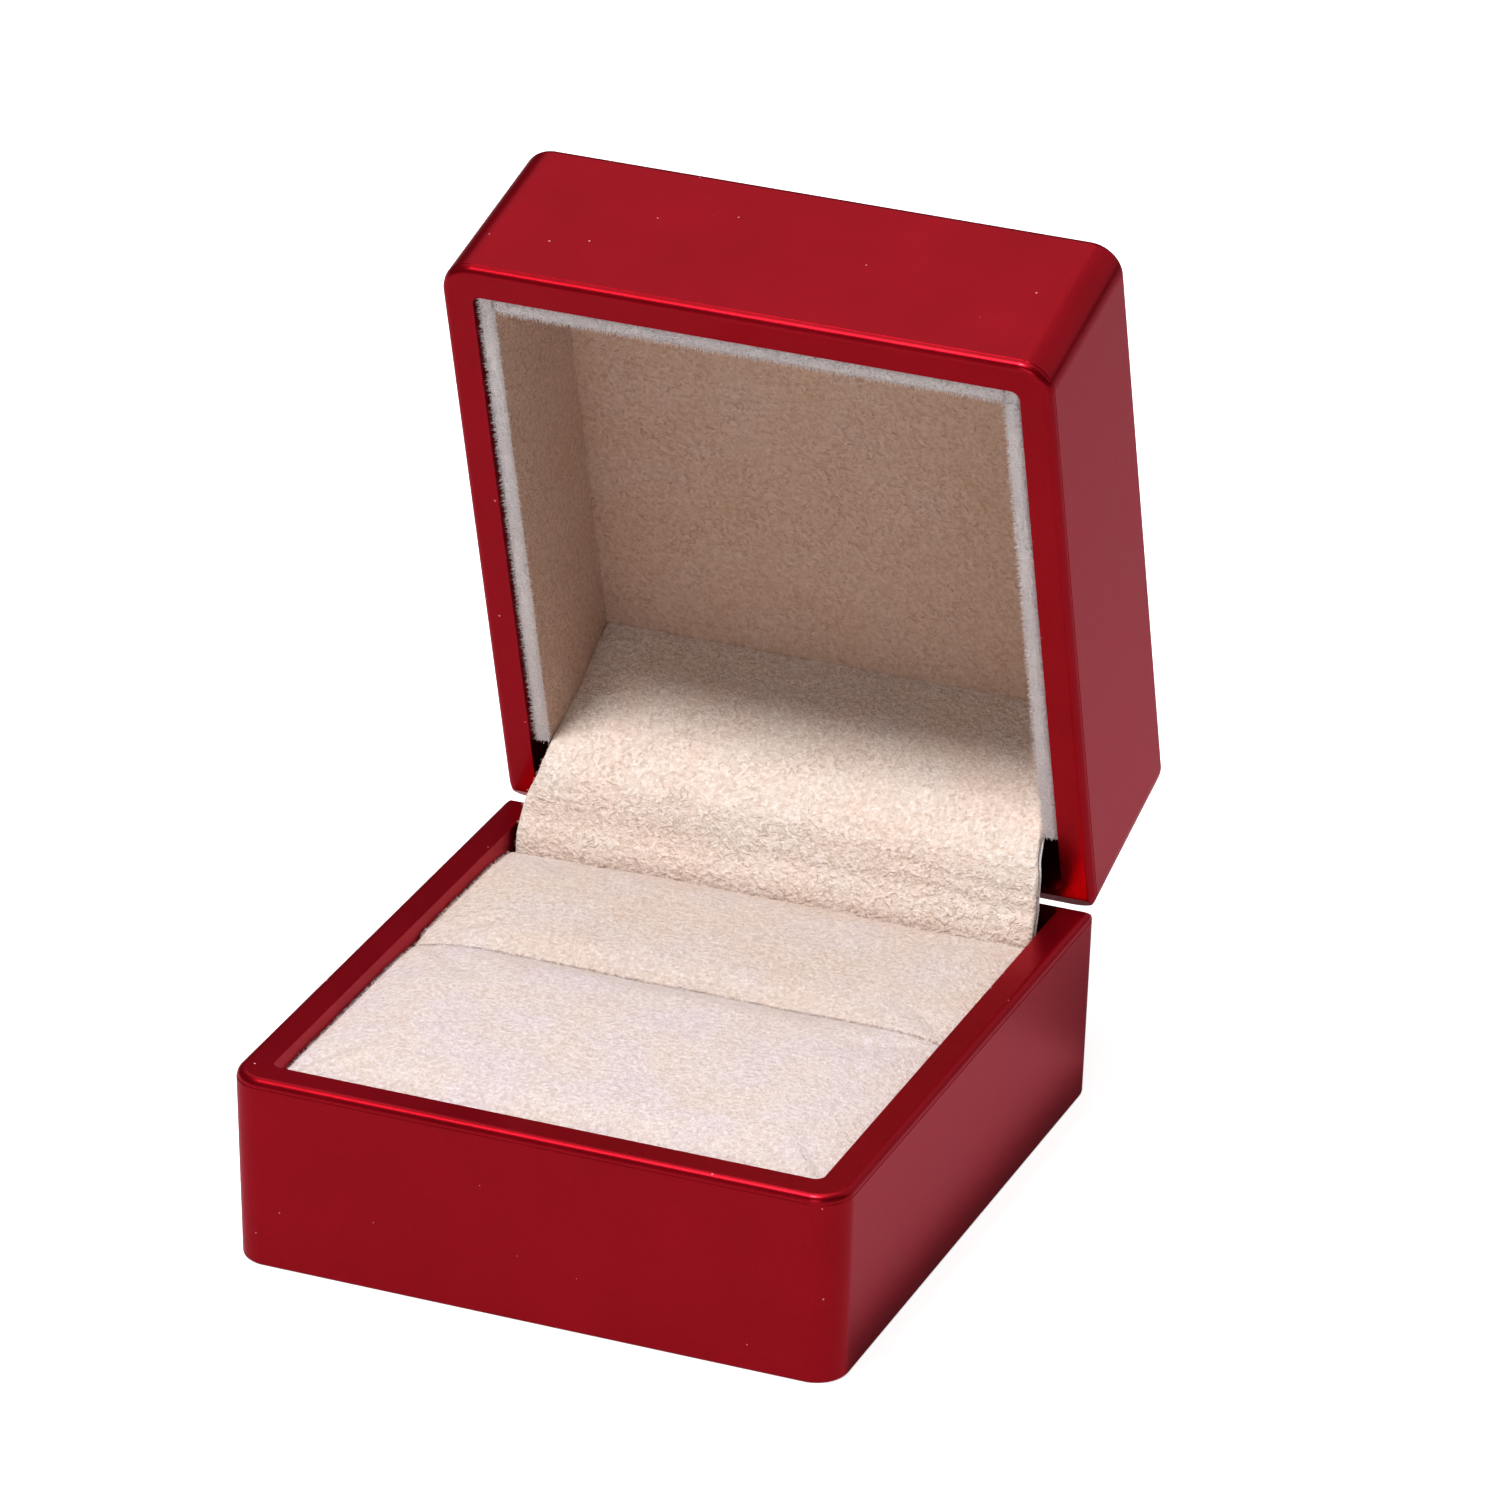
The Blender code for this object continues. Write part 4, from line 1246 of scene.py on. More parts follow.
@dataclass
class RingPads:
    """The two velvet pads that grip the ring between them."""

    clearance: float = 0.06 * MM
    slit_y: float = 1.3 * MM
    slit_gap: float = 0.01 * MM
    crisp: float = 0.6 * MM
    crisp_reach: float = 1.5 * MM
    crisp_growth: float = 2.0
    rear_y: float = 23.5 * MM
    low_z: float = 4.3 * MM
    side_z: float = 17.75 * MM
    crown_z: float = 19.15 * MM
    slack: float = 0.02 * MM
    start_top: float = 18.9 * MM
    corner: float = 0.5 * MM
    corner_segments: int = 4
    edge_round: float = 0.35 * MM
    edge_segments: int = 3
    shoulder_drop: float = 0.9 * MM
    shoulder_reach: float = 4.5 * MM
    free_band: float = 0.5 * MM
    core_inset: float = 1.2 * MM
    core_drop: float = 1.5 * MM
    middle_z: float = 15.0 * MM
    pinch: tuple[float, float, float] = (0.7 * MM, 4.5 * MM, 1.7 * MM)
    sag: tuple[float, float, float] = (0.7 * MM, 9.0 * MM, 3.0 * MM)
    slit_depth: float = 0.15 * MM
    ripple: float = 0.10 * MM
    ripple_scale: float = 130.0
    nap: float = 0.02 * MM
    nap_scale: float = 2600.0
    edge_band: float = 0.3 * MM
    side_bins: int = 90
    cross_bins: int = 160
    wall_lean: tuple[float, float] = (0.8, 0.7)
    slit_lean: tuple[float, float] = (1.0, 0.3)
    first_seed: int = 40
    seed_step: int = 10
    simulation: PadSimulation = field(default_factory=PadSimulation)
    pile: PileFringe = field(
        default_factory=lambda: PileFringe(length=0.3 * MM, radius=0.028 * MM, spacing=0.06 * MM)
    )

    def shoulder(self, x: float, y: float, low_y: float, high_y: float) -> float:
        """Find how far the slack top is sunk near the tray's walls, but not at the slit.

        Args:
            x: the place across the box.
            y: the place along it.
            low_y: the pad's front limit.
            high_y: its rear limit.

        Returns:
            The depth below the crown.
        """
        half = SIZES.wall_inner(0.0)[0]
        beside = max(0.0, 1 - (half - abs(x)) / self.shoulder_reach)
        outer = y - low_y if high_y < self.slit_y else high_y - y
        ahead = max(0.0, 1 - outer / self.shoulder_reach)
        return self.shoulder_drop * (1 - (1 - beside**2) * (1 - ahead**2))

    def slack_form(self, low_y: float, high_y: float, inset: float) -> bmesh.types.BMesh:
        """Return the slack, evenly meshed pad, sunk towards the walls.

        Args:
            low_y: the pad's front limit.
            high_y: its rear limit.
            inset: how far the form lies inside the pad's full size.

        Returns:
            The slack form.
        """
        gap = inset + self.slack
        half = SIZES.wall_inner(SIZES.base_height - self.side_z)[0] - self.clearance - gap
        top = self.start_top - inset
        bm = box((-half, low_y + gap, self.low_z), (half, high_y - gap, top))
        bevel(bm, upright_edges(bm), self.corner, self.corner_segments)
        bevel(bm, level_edges(bm, top), self.edge_round, self.edge_segments)
        even = self.simulation.remeshed(bm)
        for vert in even.verts:
            share = max(0.0, (vert.co.z - self.middle_z) / (top - self.middle_z))
            vert.co.z -= share * self.shoulder(vert.co.x, vert.co.y, low_y, high_y)
        return even

    def dip(self, x: float, y: float) -> float:
        """Find how far the pad sinks: at the slit, at its pinched left end and at the rear left.

        Args:
            x: the place across the box.
            y: the place along it.

        Returns:
            The depth at that place.
        """
        half = SIZES.wall_inner(0.0)[0]
        depth, long, wide = self.pinch
        along = (x + half) / long
        across = (y - self.slit_y) / wide
        pinch = depth * math.exp(-along * along) * math.exp(-across * across)
        depth, long, wide = self.sag
        rear = (y - self.rear_y) / wide
        corner = (x + half) / long
        sag = depth * math.exp(-corner * corner - rear * rear)
        crease = self.slit_depth * math.exp(-across * across) * (0.5 - x / half * 0.5)
        return pinch + sag + crease

    def settle(self, bm: bmesh.types.BMesh, low_y: float, high_y: float, crown_z: float) -> None:
        """Press a swollen pad into its place in the tray.

        Args:
            bm: the swollen pad.
            low_y: its front limit.
            high_y: its rear limit.
            crown_z: the height that its highest point comes to.
        """
        top = max(v.co.z for v in bm.verts)
        lift = (crown_z - self.middle_z) / (top - self.middle_z)
        for vert in bm.verts:
            place = vert.co
            if place.z > self.middle_z:
                place.z = self.middle_z + (place.z - self.middle_z) * lift
                share = (place.z - self.middle_z) / (crown_z - self.middle_z)
                swell = noise.noise(Vector((place.x, place.y, 0.0)) * self.ripple_scale)
                fuzz = noise.noise(place * self.nap_scale)
                place.z += share * (swell * self.ripple - self.dip(place.x, place.y))
                place.z += share * fuzz * self.nap
                inside = abs(place.y - self.slit_y)
                if share > 0.0 and inside < self.crisp_reach:
                    full = self.crisp_reach / (self.crisp_reach - self.crisp)
                    kept = max(0.0, inside - self.crisp) * full
                    kept = inside + (kept - inside) * min(1.0, self.crisp_growth * share)
                    place.y = self.slit_y + math.copysign(kept, place.y - self.slit_y)
            half_x, half_y = SIZES.wall_inner(SIZES.base_height - place.z)
            reach = half_x - self.clearance
            place.x = max(-reach, min(reach, place.x))
            front = max(low_y, self.clearance - half_y)
            place.y = max(front, min(high_y, place.y))
            place.z = max(self.low_z, place.z)

    def edge_line(self, bm: bmesh.types.BMesh, place: Callable[[Vector], bool],
                  along: Callable[[Vector], float], bins: int) -> list[Vector]:
        """Find the highest pad points beside a wall.

        Args:
            bm: the pad.
            place: tells whether a point lies against the wall.
            along: a point's position along the wall.
            bins: how many stretches the wall is divided into.

        Returns:
            One point for each stretch, in order.
        """
        beside = [v.co.copy() for v in bm.verts if place(v.co)]
        low = min(along(p) for p in beside)
        high = max(along(p) for p in beside)
        best: dict[int, Vector] = {}
        for point in beside:
            key = min(bins - 1, int((along(point) - low) / (high - low) * bins))
            if key not in best or point.z > best[key].z:
                best[key] = point
        return [best[key] for key in sorted(best)]

    def fringe(self, bm: bmesh.types.BMesh, seed: int, front: bool) -> bmesh.types.BMesh:
        """Make the pile fibres where a pad meets the tray's walls and the other pad.

        Args:
            bm: the pad in its place.
            seed: the seed of the fibres.
            front: whether this is the front pad, which also meets the front wall.

        Returns:
            The fibres.
        """
        high = self.middle_z
        reach = max(v.co.x for v in bm.verts if v.co.z > high) - self.edge_band
        near = min(v.co.y for v in bm.verts if v.co.z > high) + self.edge_band
        far = max(v.co.y for v in bm.verts if v.co.z > high) - self.edge_band
        out, up = self.wall_lean
        lines = []
        for side in (-1, 1):
            line = self.edge_line(
                bm,
                lambda p, side=side: p.z > high and p.x * side > reach,
                lambda p: p.y,
                self.side_bins,
            )
            lines.append((line, Vector((side * out, 0.0, up))))
        over, rise = self.slit_lean
        near_lean = Vector((0.0, -out, up)) if front else Vector((0.0, -over, rise))
        line = self.edge_line(
            bm, lambda p: p.z > high and p.y < near, lambda p: p.x, self.cross_bins
        )
        lines.append((line, near_lean))
        if front:
            line = self.edge_line(
                bm, lambda p: p.z > high and p.y > far, lambda p: p.x, self.cross_bins
            )
            lines.append((line, Vector((0.0, over, rise))))
        fibres = bmesh.new()
        for index, (line, outward) in enumerate(lines):
            self.pile.sow(fibres, line, outward, seed + index)
        return fibres

    def build(self, finishes: FinishSet) -> None:
        """Args:
            finishes: the materials.
        """
        front_y = -SIZES.wall_inner(0.0)[1]
        spans = {
            "front_pad": (front_y, self.slit_y - self.slit_gap),
            "rear_pad": (self.slit_y + self.slit_gap, self.rear_y),
        }
        for index, (name, (low_y, high_y)) in enumerate(spans.items()):
            def is_held(place: Vector, low_y: float = low_y, high_y: float = high_y) -> bool:
                """Tell whether a point lies below the band that is free to swell."""
                top = self.start_top - self.shoulder(place.x, place.y, low_y, high_y)
                return place.z < top - self.free_band

            slack = self.slack_form(low_y, high_y, 0.0)
            bm = self.simulation.inflate(slack, is_held)
            self.settle(bm, low_y, high_y, self.crown_z)
            core = self.slack_form(low_y, high_y, self.core_inset)
            self.settle(core, low_y, high_y, self.crown_z - self.core_drop)
            fibres = self.fringe(bm, self.first_seed + self.seed_step * index, index == 0)
            foam = add_piece(
                f"{name}_core", core, finishes.foam, [f"{name}_foam"],
                sharp_angle=math.pi,
            )
            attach(foam, Body.BASE.value)
            # Each pad takes its own tinted copy of the velvet: painted light colour.
            velvet = finishes.front_pad_velvet if index == 0 else finishes.rear_pad_velvet
            pad = add_piece(
                name, bm, velvet, [f"{name}_cover"], sharp_angle=math.pi
            )
            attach(pad, Body.BASE.value)
            pile = add_piece(f"{name}_pile", fibres, velvet)
            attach(pile, Body.BASE.value)


# ---------------------------------------------------------------- bent cloth


def smooth_path(stations: Sequence[Vector], step: float) -> list[Vector]:
    """Read points from a smooth curve through stations, evenly along it.

    Args:
        stations: the points that the curve passes through.
        step: the distance between the points read from it.

    Returns:
        The points, the first and last station among them.
    """
    per_span = 24
    dense: list[Vector] = []
    last = len(stations) - 1
    spans = [(b - a).length for a, b in zip(stations, stations[1:])]
    ways = [(b - a) / span for a, b, span in zip(stations, stations[1:], spans)]
    slopes = [ways[0]]
    for i in range(1, last):
        total = spans[i - 1] + spans[i]
        slopes.append((ways[i - 1] * spans[i] + ways[i] * spans[i - 1]) / total)
    slopes.append(ways[-1])
    for i, span in enumerate(spans):
        for k in range(per_span):
            t = k / per_span
            start = stations[i] * (1 + 2 * t) * (1 - t) ** 2 + slopes[i] * span * t * (1 - t) ** 2
            end = stations[i + 1] * t * t * (3 - 2 * t) + slopes[i + 1] * span * t * t * (t - 1)
            dense.append(start + end)
    dense.append(stations[last].copy())
    lengths = [0.0]
    for first, second in zip(dense, dense[1:]):
        lengths.append(lengths[-1] + (second - first).length)
    count = max(2, round(lengths[-1] / step))
    wanted = np.linspace(0.0, lengths[-1], count + 1)
    axes = [np.interp(wanted, lengths, [p[axis] for p in dense]) for axis in range(len(dense[0]))]
    return [Vector(point) for point in zip(*axes)]


@dataclass
class BentCloth:
    """A sheet of cloth bent along a path: a flat grid whose rows are laid along it.

    A path point holds its place along the path's two axes and the half width there.
    """

    path: list[Vector]
    thickness: float
    step: float
    to_place: Callable[[float, float, float], Vector]
    relief: Callable[[float, float], float]

    @property
    def length(self) -> float:
        """The length of the cloth along its path."""
        flat = [p.xy for p in self.path]
        return sum((b - a).length for a, b in zip(flat, flat[1:]))

    @property
    def width(self) -> float:
        """The greatest width of the cloth."""
        return 2 * max(p.z for p in self.path)

    def normal(self, row: int) -> Vector:
        """Find the side of the path that the cloth's face is on.

        Args:
            row: the row of the cloth.

        Returns:
            The face's direction there, in the path's plane.
        """
        along = (self.path[min(row + 1, len(self.path) - 1)] - self.path[max(row - 1, 0)]).xy
        along.normalize()
        return Vector((-along.y, along.x))

    def build(self) -> bmesh.types.BMesh:
        """Build the cloth.

        Returns:
            A closed shell with the cloth's flat sizes, in metres, as its UV map.
        """
        rows = len(self.path) - 1
        columns = max(2, round(self.width / self.step))
        bm = bmesh.new()
        bmesh.ops.create_grid(bm, x_segments=columns, y_segments=rows, size=1.0, calc_uvs=False)
        uv = bm.loops.layers.uv.new(CLOTH_UV)
        travelled = [0.0]
        for a, b in zip(self.path, self.path[1:]):
            travelled.append(travelled[-1] + (b - a).xy.length)
        flat = {}
        for vert in bm.verts:
            row = round((vert.co.y + 1.0) / 2 * rows)
            station = self.path[row]
            across = vert.co.x * station.z
            flat[vert] = (across, travelled[row])
            lift = self.relief(across, travelled[row])
            spot = station.xy + self.normal(row) * lift
            vert.co = self.to_place(across, spot.x, spot.y)
        for face in bm.faces:
            for loop in face.loops:
                loop[uv].uv = flat[loop.vert]
        middle = rows // 2
        spot = self.path[middle].xy
        ahead = spot + self.normal(middle)
        outward = self.to_place(0.0, *ahead) - self.to_place(0.0, *spot)
        bm.normal_update()
        nearest = min(bm.faces, key=lambda f: self.distance_to(f, self.to_place(0.0, *spot)))
        if nearest.normal.dot(outward) < 0.0:
            bmesh.ops.reverse_faces(bm, faces=bm.faces[:])
        sheet = link_object("bent_sheet", bm)
        wall = sheet.modifiers.new("Cloth thickness", "SOLIDIFY")
        wall.thickness = self.thickness
        wall.offset = -1.0
        closed = evaluated_bmesh(sheet)
        drop_object(sheet)
        return closed

    def distance_to(self, face: bmesh.types.BMFace, spot: Vector) -> float:
        """Distance from a face's middle to a point."""
        return (face.calc_center_median() - spot).length


# ---------------------------------------------------------------- lid lining


@dataclass
class LidLining:
    """The velvet that lines the lid: two side liners, a front liner and the panel."""

    recess: float = 0.6 * MM
    outer_x: float = 26.55 * MM
    outer_y: float = 29.0 * MM
    border: float = 1.5 * MM
    velvet: float = 0.5 * MM
    turn_down: float = 0.7 * MM
    round: float = 0.32 * MM
    rear_y: float = 23.6 * MM
    panel_face: float = 15.9 * MM
    gap: float = 0.05 * MM
    step: float = 0.3 * MM
    overlap: float = 0.3 * MM
    pile_height: float = 0.05 * MM
    clump_length: float = 0.45 * MM
    sway_length: float = 7.0 * MM
    panel_seed: float = 9.0
    fold_end: float = 2.4 * MM
    fold_steps: int = 4
    pile_rows: int = 9
    pile_depth: float = 0.04 * MM
    pile_spread: float = 1.3
    end_depth: float = 0.1 * MM
    end_steps: int = 4
    end_seed: int = 7
    pile: PileFringe = field(
        default_factory=lambda: PileFringe(length=0.36 * MM, radius=0.034 * MM, spacing=0.07 * MM)
    )

    def pile_relief(self, seed: float) -> Callable[[float, float], float]:
        """Describe the fine unevenness of a piece of velvet.

        Args:
            seed: a number that sets the piece apart from the others.

        Returns:
            A function of the place across and along the flat cloth.
        """
        def relief(across: float, along: float) -> float:
            """Return the height of the pile at a place of the flat cloth."""
            place = Vector((across, along, seed))
            return self.pile_height * (
                noise.noise(place / self.clump_length) + noise.noise(place / self.sway_length)
            )
        return relief

    def fold_path(self, outer: float) -> list[Vector]:
        """Return the velvet's path over a liner card's edge.

        Args:
            outer: distance from the box's middle to the liner's outer side.

        Returns:
            Points of (distance from the middle, height above the rim), with no width yet.
        """
        inner = outer - self.border
        corner = self.round
        points = [Vector((outer, self.recess + self.turn_down + corner))]
        quarter = math.pi / 2
        for centre_x, start in ((outer - corner, 0.0), (inner + corner, quarter)):
            for k in range(self.fold_steps + 1):
                angle = start + quarter * k / self.fold_steps
                points.append(
                    Vector((
                        centre_x + corner * math.cos(angle),
                        self.recess + corner - corner * math.sin(angle),
                    ))
                )
        points.append(Vector((inner, self.panel_face - self.gap)))
        return points

    def border_fringe(self, outer: float, low: float, high: float,
                      to_place: Callable[[float, float, float], Vector],
                      seed: int) -> bmesh.types.BMesh:
        """Make the pile that stands on a liner's border and on its two ends.

        Args:
            outer: distance from the box's middle to the liner's outer side.
            low: where the liner starts along its wall.
            high: where it ends.
            to_place: turns (along the wall, from the middle, above the rim) into a place.
            seed: the seed of the pile.

        Returns:
            The fibres.
        """
        fibres = bmesh.new()
        up = Vector((0.0, 0.0, -1.0))
        middle = (low + high) / 2
        count = round((high - low) / MM)
        spots = [low + (high - low) * k / count for k in range(count + 1)]
        side = (to_place(middle, outer + MM, 0.0) - to_place(middle, outer, 0.0)).normalized()
        for row in range(self.pile_rows):
            share = (row + 0.5) / self.pile_rows
            foot = self.recess + self.pile_depth
            line = [to_place(spot, outer - self.border * share, foot) for spot in spots]
            lean = up + side * self.pile_spread * (1 - 2 * share)
            self.pile.sow(fibres, line, lean, seed + row)
        forward = (to_place(MM, outer, 0.0) - to_place(0.0, outer, 0.0)).normalized()
        rise = self.recess + self.end_depth
        for end, way in ((low, -1.0), (high, 1.0)):
            line = [
                to_place(end, outer - self.border * k / self.end_steps, rise)
                for k in range(self.end_steps + 1)
            ]
            self.pile.sow(fibres, line, forward * way, seed + self.end_seed)
        return fibres

    def liner(self, name: str, outer: float, low: float, high: float,
              to_place: Callable[[float, float, float], Vector], seed: int,
              finishes: FinishSet) -> None:
        """Build one liner.

        Args:
            name: the piece's name, and the CAD node's before _velvet.
            outer: distance from the box's middle to the liner's outer side.
            low: where the liner starts along its wall.
            high: where it ends.
            to_place: turns (along the wall, from the middle, above the rim) into a place.
            seed: the seed of its pile.
            finishes: the materials.
        """
        middle = (low + high) / 2
        half = (high - low) / 2
        stations = [Vector((p.x, p.y, half)) for p in self.fold_path(outer)]
        even = smooth_path(stations, self.step)

        def put(across: float, from_middle: float, above_rim: float) -> Vector:
            """Place of a point of the liner in the shut lid."""
            return to_place(middle + across, from_middle, above_rim)

        cloth = BentCloth(even, self.velvet, self.step, put, self.pile_relief(float(seed)))
        bm = cloth.build()
        # The faces of the folded border take the second, near-white copy of the velvet, painted
        # light; the rest takes the darker lining copy, painted shade.
        flat = bm.loops.layers.uv[CLOTH_UV]
        for face in bm.faces:
            if all(loop[flat].uv.y < self.fold_end for loop in face.loops):
                face.material_index = 1
        piece = add_piece(
            name, bm, finishes.shaded_lining_velvet, [f"lid_{name}_velvet"],
            SIZES.turn_open, math.pi,
        )
        piece.data.materials.append(finishes.lit_border_pile)
        fibres = self.border_fringe(outer, low, high, to_place, seed)
        # The border's fibres take the near-white copy too: painted light.
        pile = add_piece(
            f"{name}_pile", fibres, finishes.lit_border_pile, turn=SIZES.turn_open
        )
        cloth.length
        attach(piece, Body.LID.value)
        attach(pile, Body.LID.value)

    def build_liners(self, finishes: FinishSet) -> None:
        """Build the side liners and the front liner between them.

        Args:
            finishes: the materials.
        """
        rim = SIZES.shut_rim_z
        for seed, (hand, side) in enumerate((("left", -1.0), ("right", 1.0)), start=3):
            def beside(along: float, out: float, up: float, side: float = side) -> Vector:
                """Place of a side liner's point in the shut lid."""
                return Vector((side * out, along, rim + up))
            self.liner(
                f"{hand}_liner", self.outer_x, -self.outer_y, self.rear_y, beside, seed, finishes
            )

        def in_front(along: float, out: float, up: float) -> Vector:
            """Place of the front liner's point in the shut lid."""
            return Vector((along, -out, rim + up))
        half = self.outer_x - self.border - self.gap
        self.liner("front_liner", self.outer_y, -half, half, in_front, 5, finishes)

    def build_panel(self, finishes: FinishSet) -> None:
        """Build the velvet panel on the lid's ceiling.

        Args:
            finishes: the materials.
        """
        rim = SIZES.shut_rim_z
        half = self.outer_x - self.border + self.overlap
        front = -(self.outer_y - self.border + self.overlap)
        rear = self.rear_y
        count = round((rear - front) / self.step)
        path = [
            Vector((front + (rear - front) * k / count, self.panel_face, half))
            for k in range(count + 1)
        ]

        def put(across: float, along: float, above_rim: float) -> Vector:
            """Place of the panel's point in the shut lid."""
            return Vector((across, along, rim + above_rim))

        cloth = BentCloth(path, self.velvet, self.step, put, self.pile_relief(self.panel_seed))
        bm = cloth.build()
        # The panel takes the darker, browner copy of the velvet: painted shade.
        piece = add_piece(
            "lid_panel", bm, finishes.shaded_lining_velvet, ["lid_panel_velvet"],
            SIZES.turn_open, math.pi,
        )
        cloth.length
        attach(piece, Body.LID.value)


# ---------------------------------------------------------------- curtain


@dataclass
class Curtain:
    """The velvet and its white backing that cross the hinge, from behind the pad to the lid."""

    base_half: float = 26.2 * MM
    lid_half: float = 24.95 * MM
    back_y: float = 23.75 * MM
    tail_z: float = 6.0 * MM
    rise: tuple[tuple[float, float, float], ...] = (
        (0.0, 11.5 * MM, 0.0),
        (0.0, 16.5 * MM, 0.0),
        (0.35 * MM, 18.9 * MM, 0.0),
        (1.15 * MM, 20.6 * MM, 0.1 * MM),
        (1.75 * MM, 22.8 * MM, 0.4 * MM),
        (2.65 * MM, 24.7 * MM, 0.9 * MM),
    )
    rim_from_rear: float = 9.0 * MM
    panel_from_rear: float = 12.2 * MM
    panel_face: float = 15.6 * MM
    velvet: float = 0.55 * MM
    backing: float = 0.25 * MM
    layer_gap: float = 0.1 * MM
    backing_proud: float = 0.1 * MM
    step: float = 0.4 * MM
    wrinkle: float = 0.22 * MM
    wrinkle_at: float = 16.0 * MM
    wrinkle_reach: float = 2.6 * MM
    wrinkle_pitch: float = 1.9 * MM
    wander: float = 1.2 * MM
    wander_length: float = 16.0 * MM
    wander_seed: float = 3.1
    break_length: float = 9.0 * MM
    break_seed: float = 7.7
    strong_side: tuple[float, float, float, float] = (0.55, 0.45, 4.0 * MM, 8.0 * MM)
    nap: float = 0.04 * MM
    nap_length: float = 0.5 * MM
    nap_seed: float = 1.0
    slip: float = 0.4 * MM
    slip_z: float = 24.2 * MM
    slip_reach: float = 1.7 * MM
    fray_from_z: float = 17.0 * MM
    fray_lean: tuple[float, float, float] = (0.6, -0.6, 0.2)
    fray_seed: int = 71
    bend_start: tuple[float, float, float] = (0.0, 24.0 * MM, 18.6 * MM)
    bend_end: tuple[float, float, float] = (0.0, 28.6 * MM, 26.3 * MM)
    pile: PileFringe = field(default_factory=lambda: PileFringe(length=0.2 * MM, spacing=0.12 * MM))

    def stations(self) -> list[Vector]:
        """List the stations of the curtain's face, from its tail up into the lid.

        Returns:
            Points of (y, z, half width).
        """
        rim = SIZES.lid_place(self.rim_from_rear, 0.0)
        top = SIZES.lid_place(self.panel_from_rear, self.panel_face)
        middle = (rim + top) / 2
        rows = [Vector((self.back_y, self.tail_z, self.base_half))]
        for backward, z, drawn_in in self.rise:
            rows.append(Vector((self.back_y + backward, z, self.base_half - drawn_in)))
        for place in (rim, middle, top):
            rows.append(Vector((place.y, place.z, self.lid_half)))
        return rows

    def drift(self, z: float) -> float:
        """Return how far right of the middle the cloth lies at a height."""
        return self.slip * math.exp(-(((z - self.slip_z) / self.slip_reach) ** 2))

    def wrinkles(self, across: float, along: float) -> float:
        """Find the height of the soft creases and the pile at a place of the flat cloth.

        Args:
            across: the place across the cloth, from its middle.
            along: the place along it, from its tail.

        Returns:
            The height above the path.
        """
        zone = math.exp(-(((along - self.wrinkle_at) / self.wrinkle_reach) ** 2))
        path = Vector((across, 0.0, self.wander_seed))
        wander = noise.noise(path / self.wander_length) * self.wander
        patch = Vector((across, along * 2, self.break_seed))
        broken = 0.5 + 0.5 * noise.noise(patch / self.break_length)
        level, swing, middle, reach = self.strong_side
        side = level + swing * math.tanh((across + middle) / reach)
        wave = math.cos((along + wander) / self.wrinkle_pitch * 2 * math.pi)
        nap = noise.noise(Vector((across, along, self.nap_seed)) / self.nap_length)
        return -zone * broken * side * self.wrinkle * (1 + wave) / 2 + nap * self.nap

    def layer(self, behind: float, thickness: float, proud: float,
              with_nap: bool) -> BentCloth:
        """Return one layer of the curtain.

        Args:
            behind: how far its face lies behind the velvet's face.
            thickness: its thickness.
            proud: how much wider than the velvet it is, on each side.
            with_nap: whether its face has a pile.

        Returns:
            The cloth, before it is built.
        """
        even = smooth_path(self.stations(), self.step)
        path = []
        for i, point in enumerate(even):
            along = (even[min(i + 1, len(even) - 1)] - even[max(i - 1, 0)]).xy
            along.normalize()
            back = Vector((along.y, -along.x)) * behind
            path.append(Vector((point.x + back.x, point.y + back.y, point.z + proud)))

        def put(across: float, y: float, z: float) -> Vector:
            """Return the place of a point of the curtain."""
            return Vector((across + self.drift(z), y, z))

        def relief(across: float, along: float) -> float:
            """Return the layer's relief: the backing never stands out towards the velvet."""
            height = self.wrinkles(across, along)
            return height if with_nap else min(0.0, height)
        return BentCloth(path, thickness, self.step, put, relief)

    def fringe(self, cloth: BentCloth) -> bmesh.types.BMesh:
        """Make the frayed fibres of the velvet's two cut edges.

        Args:
            cloth: the velvet.

        Returns:
            The fibres.
        """
        fibres = bmesh.new()
        shown = [p for p in cloth.path if p.y > self.fray_from_z]
        for side in (-1.0, 1.0):
            line = [
                Vector((side * p.z + self.drift(p.y), p.x + self.velvet / 2, p.y)) for p in shown
            ]
            out, forward, up = self.fray_lean
            self.pile.sow(fibres, line, Vector((side * out, forward, up)), self.fray_seed)
        return fibres

    def build(self, finishes: FinishSet) -> None:
        """Args:
            finishes: the materials.
        """
        # The velvet layer takes the curtain's paler, peachier copy of the velvet: painted light.
        layers = (
            ("curtain_velvet", 0.0, self.velvet, 0.0, finishes.curtain_velvet, Slot.VELVET),
            ("curtain_backing", self.velvet + self.layer_gap, self.backing, self.backing_proud,
             finishes.backing, Slot.BACKING),
        )
        for node, behind, thickness, proud, material, slot in layers:
            cloth = self.layer(behind, thickness, proud, slot is Slot.VELVET)
            name = node.replace("curtain_", "hinge_curtain_")
            piece = add_piece(name, cloth.build(), material, [node], sharp_angle=math.pi)
            bending = [piece]
            if slot is Slot.VELVET:
                fibres = self.fringe(cloth)
                bending.append(add_piece("hinge_curtain_pile", fibres, material))
            cloth.length
            for part in bending:
                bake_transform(part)


# ---------------------------------------------------------------- carried CAD nodes


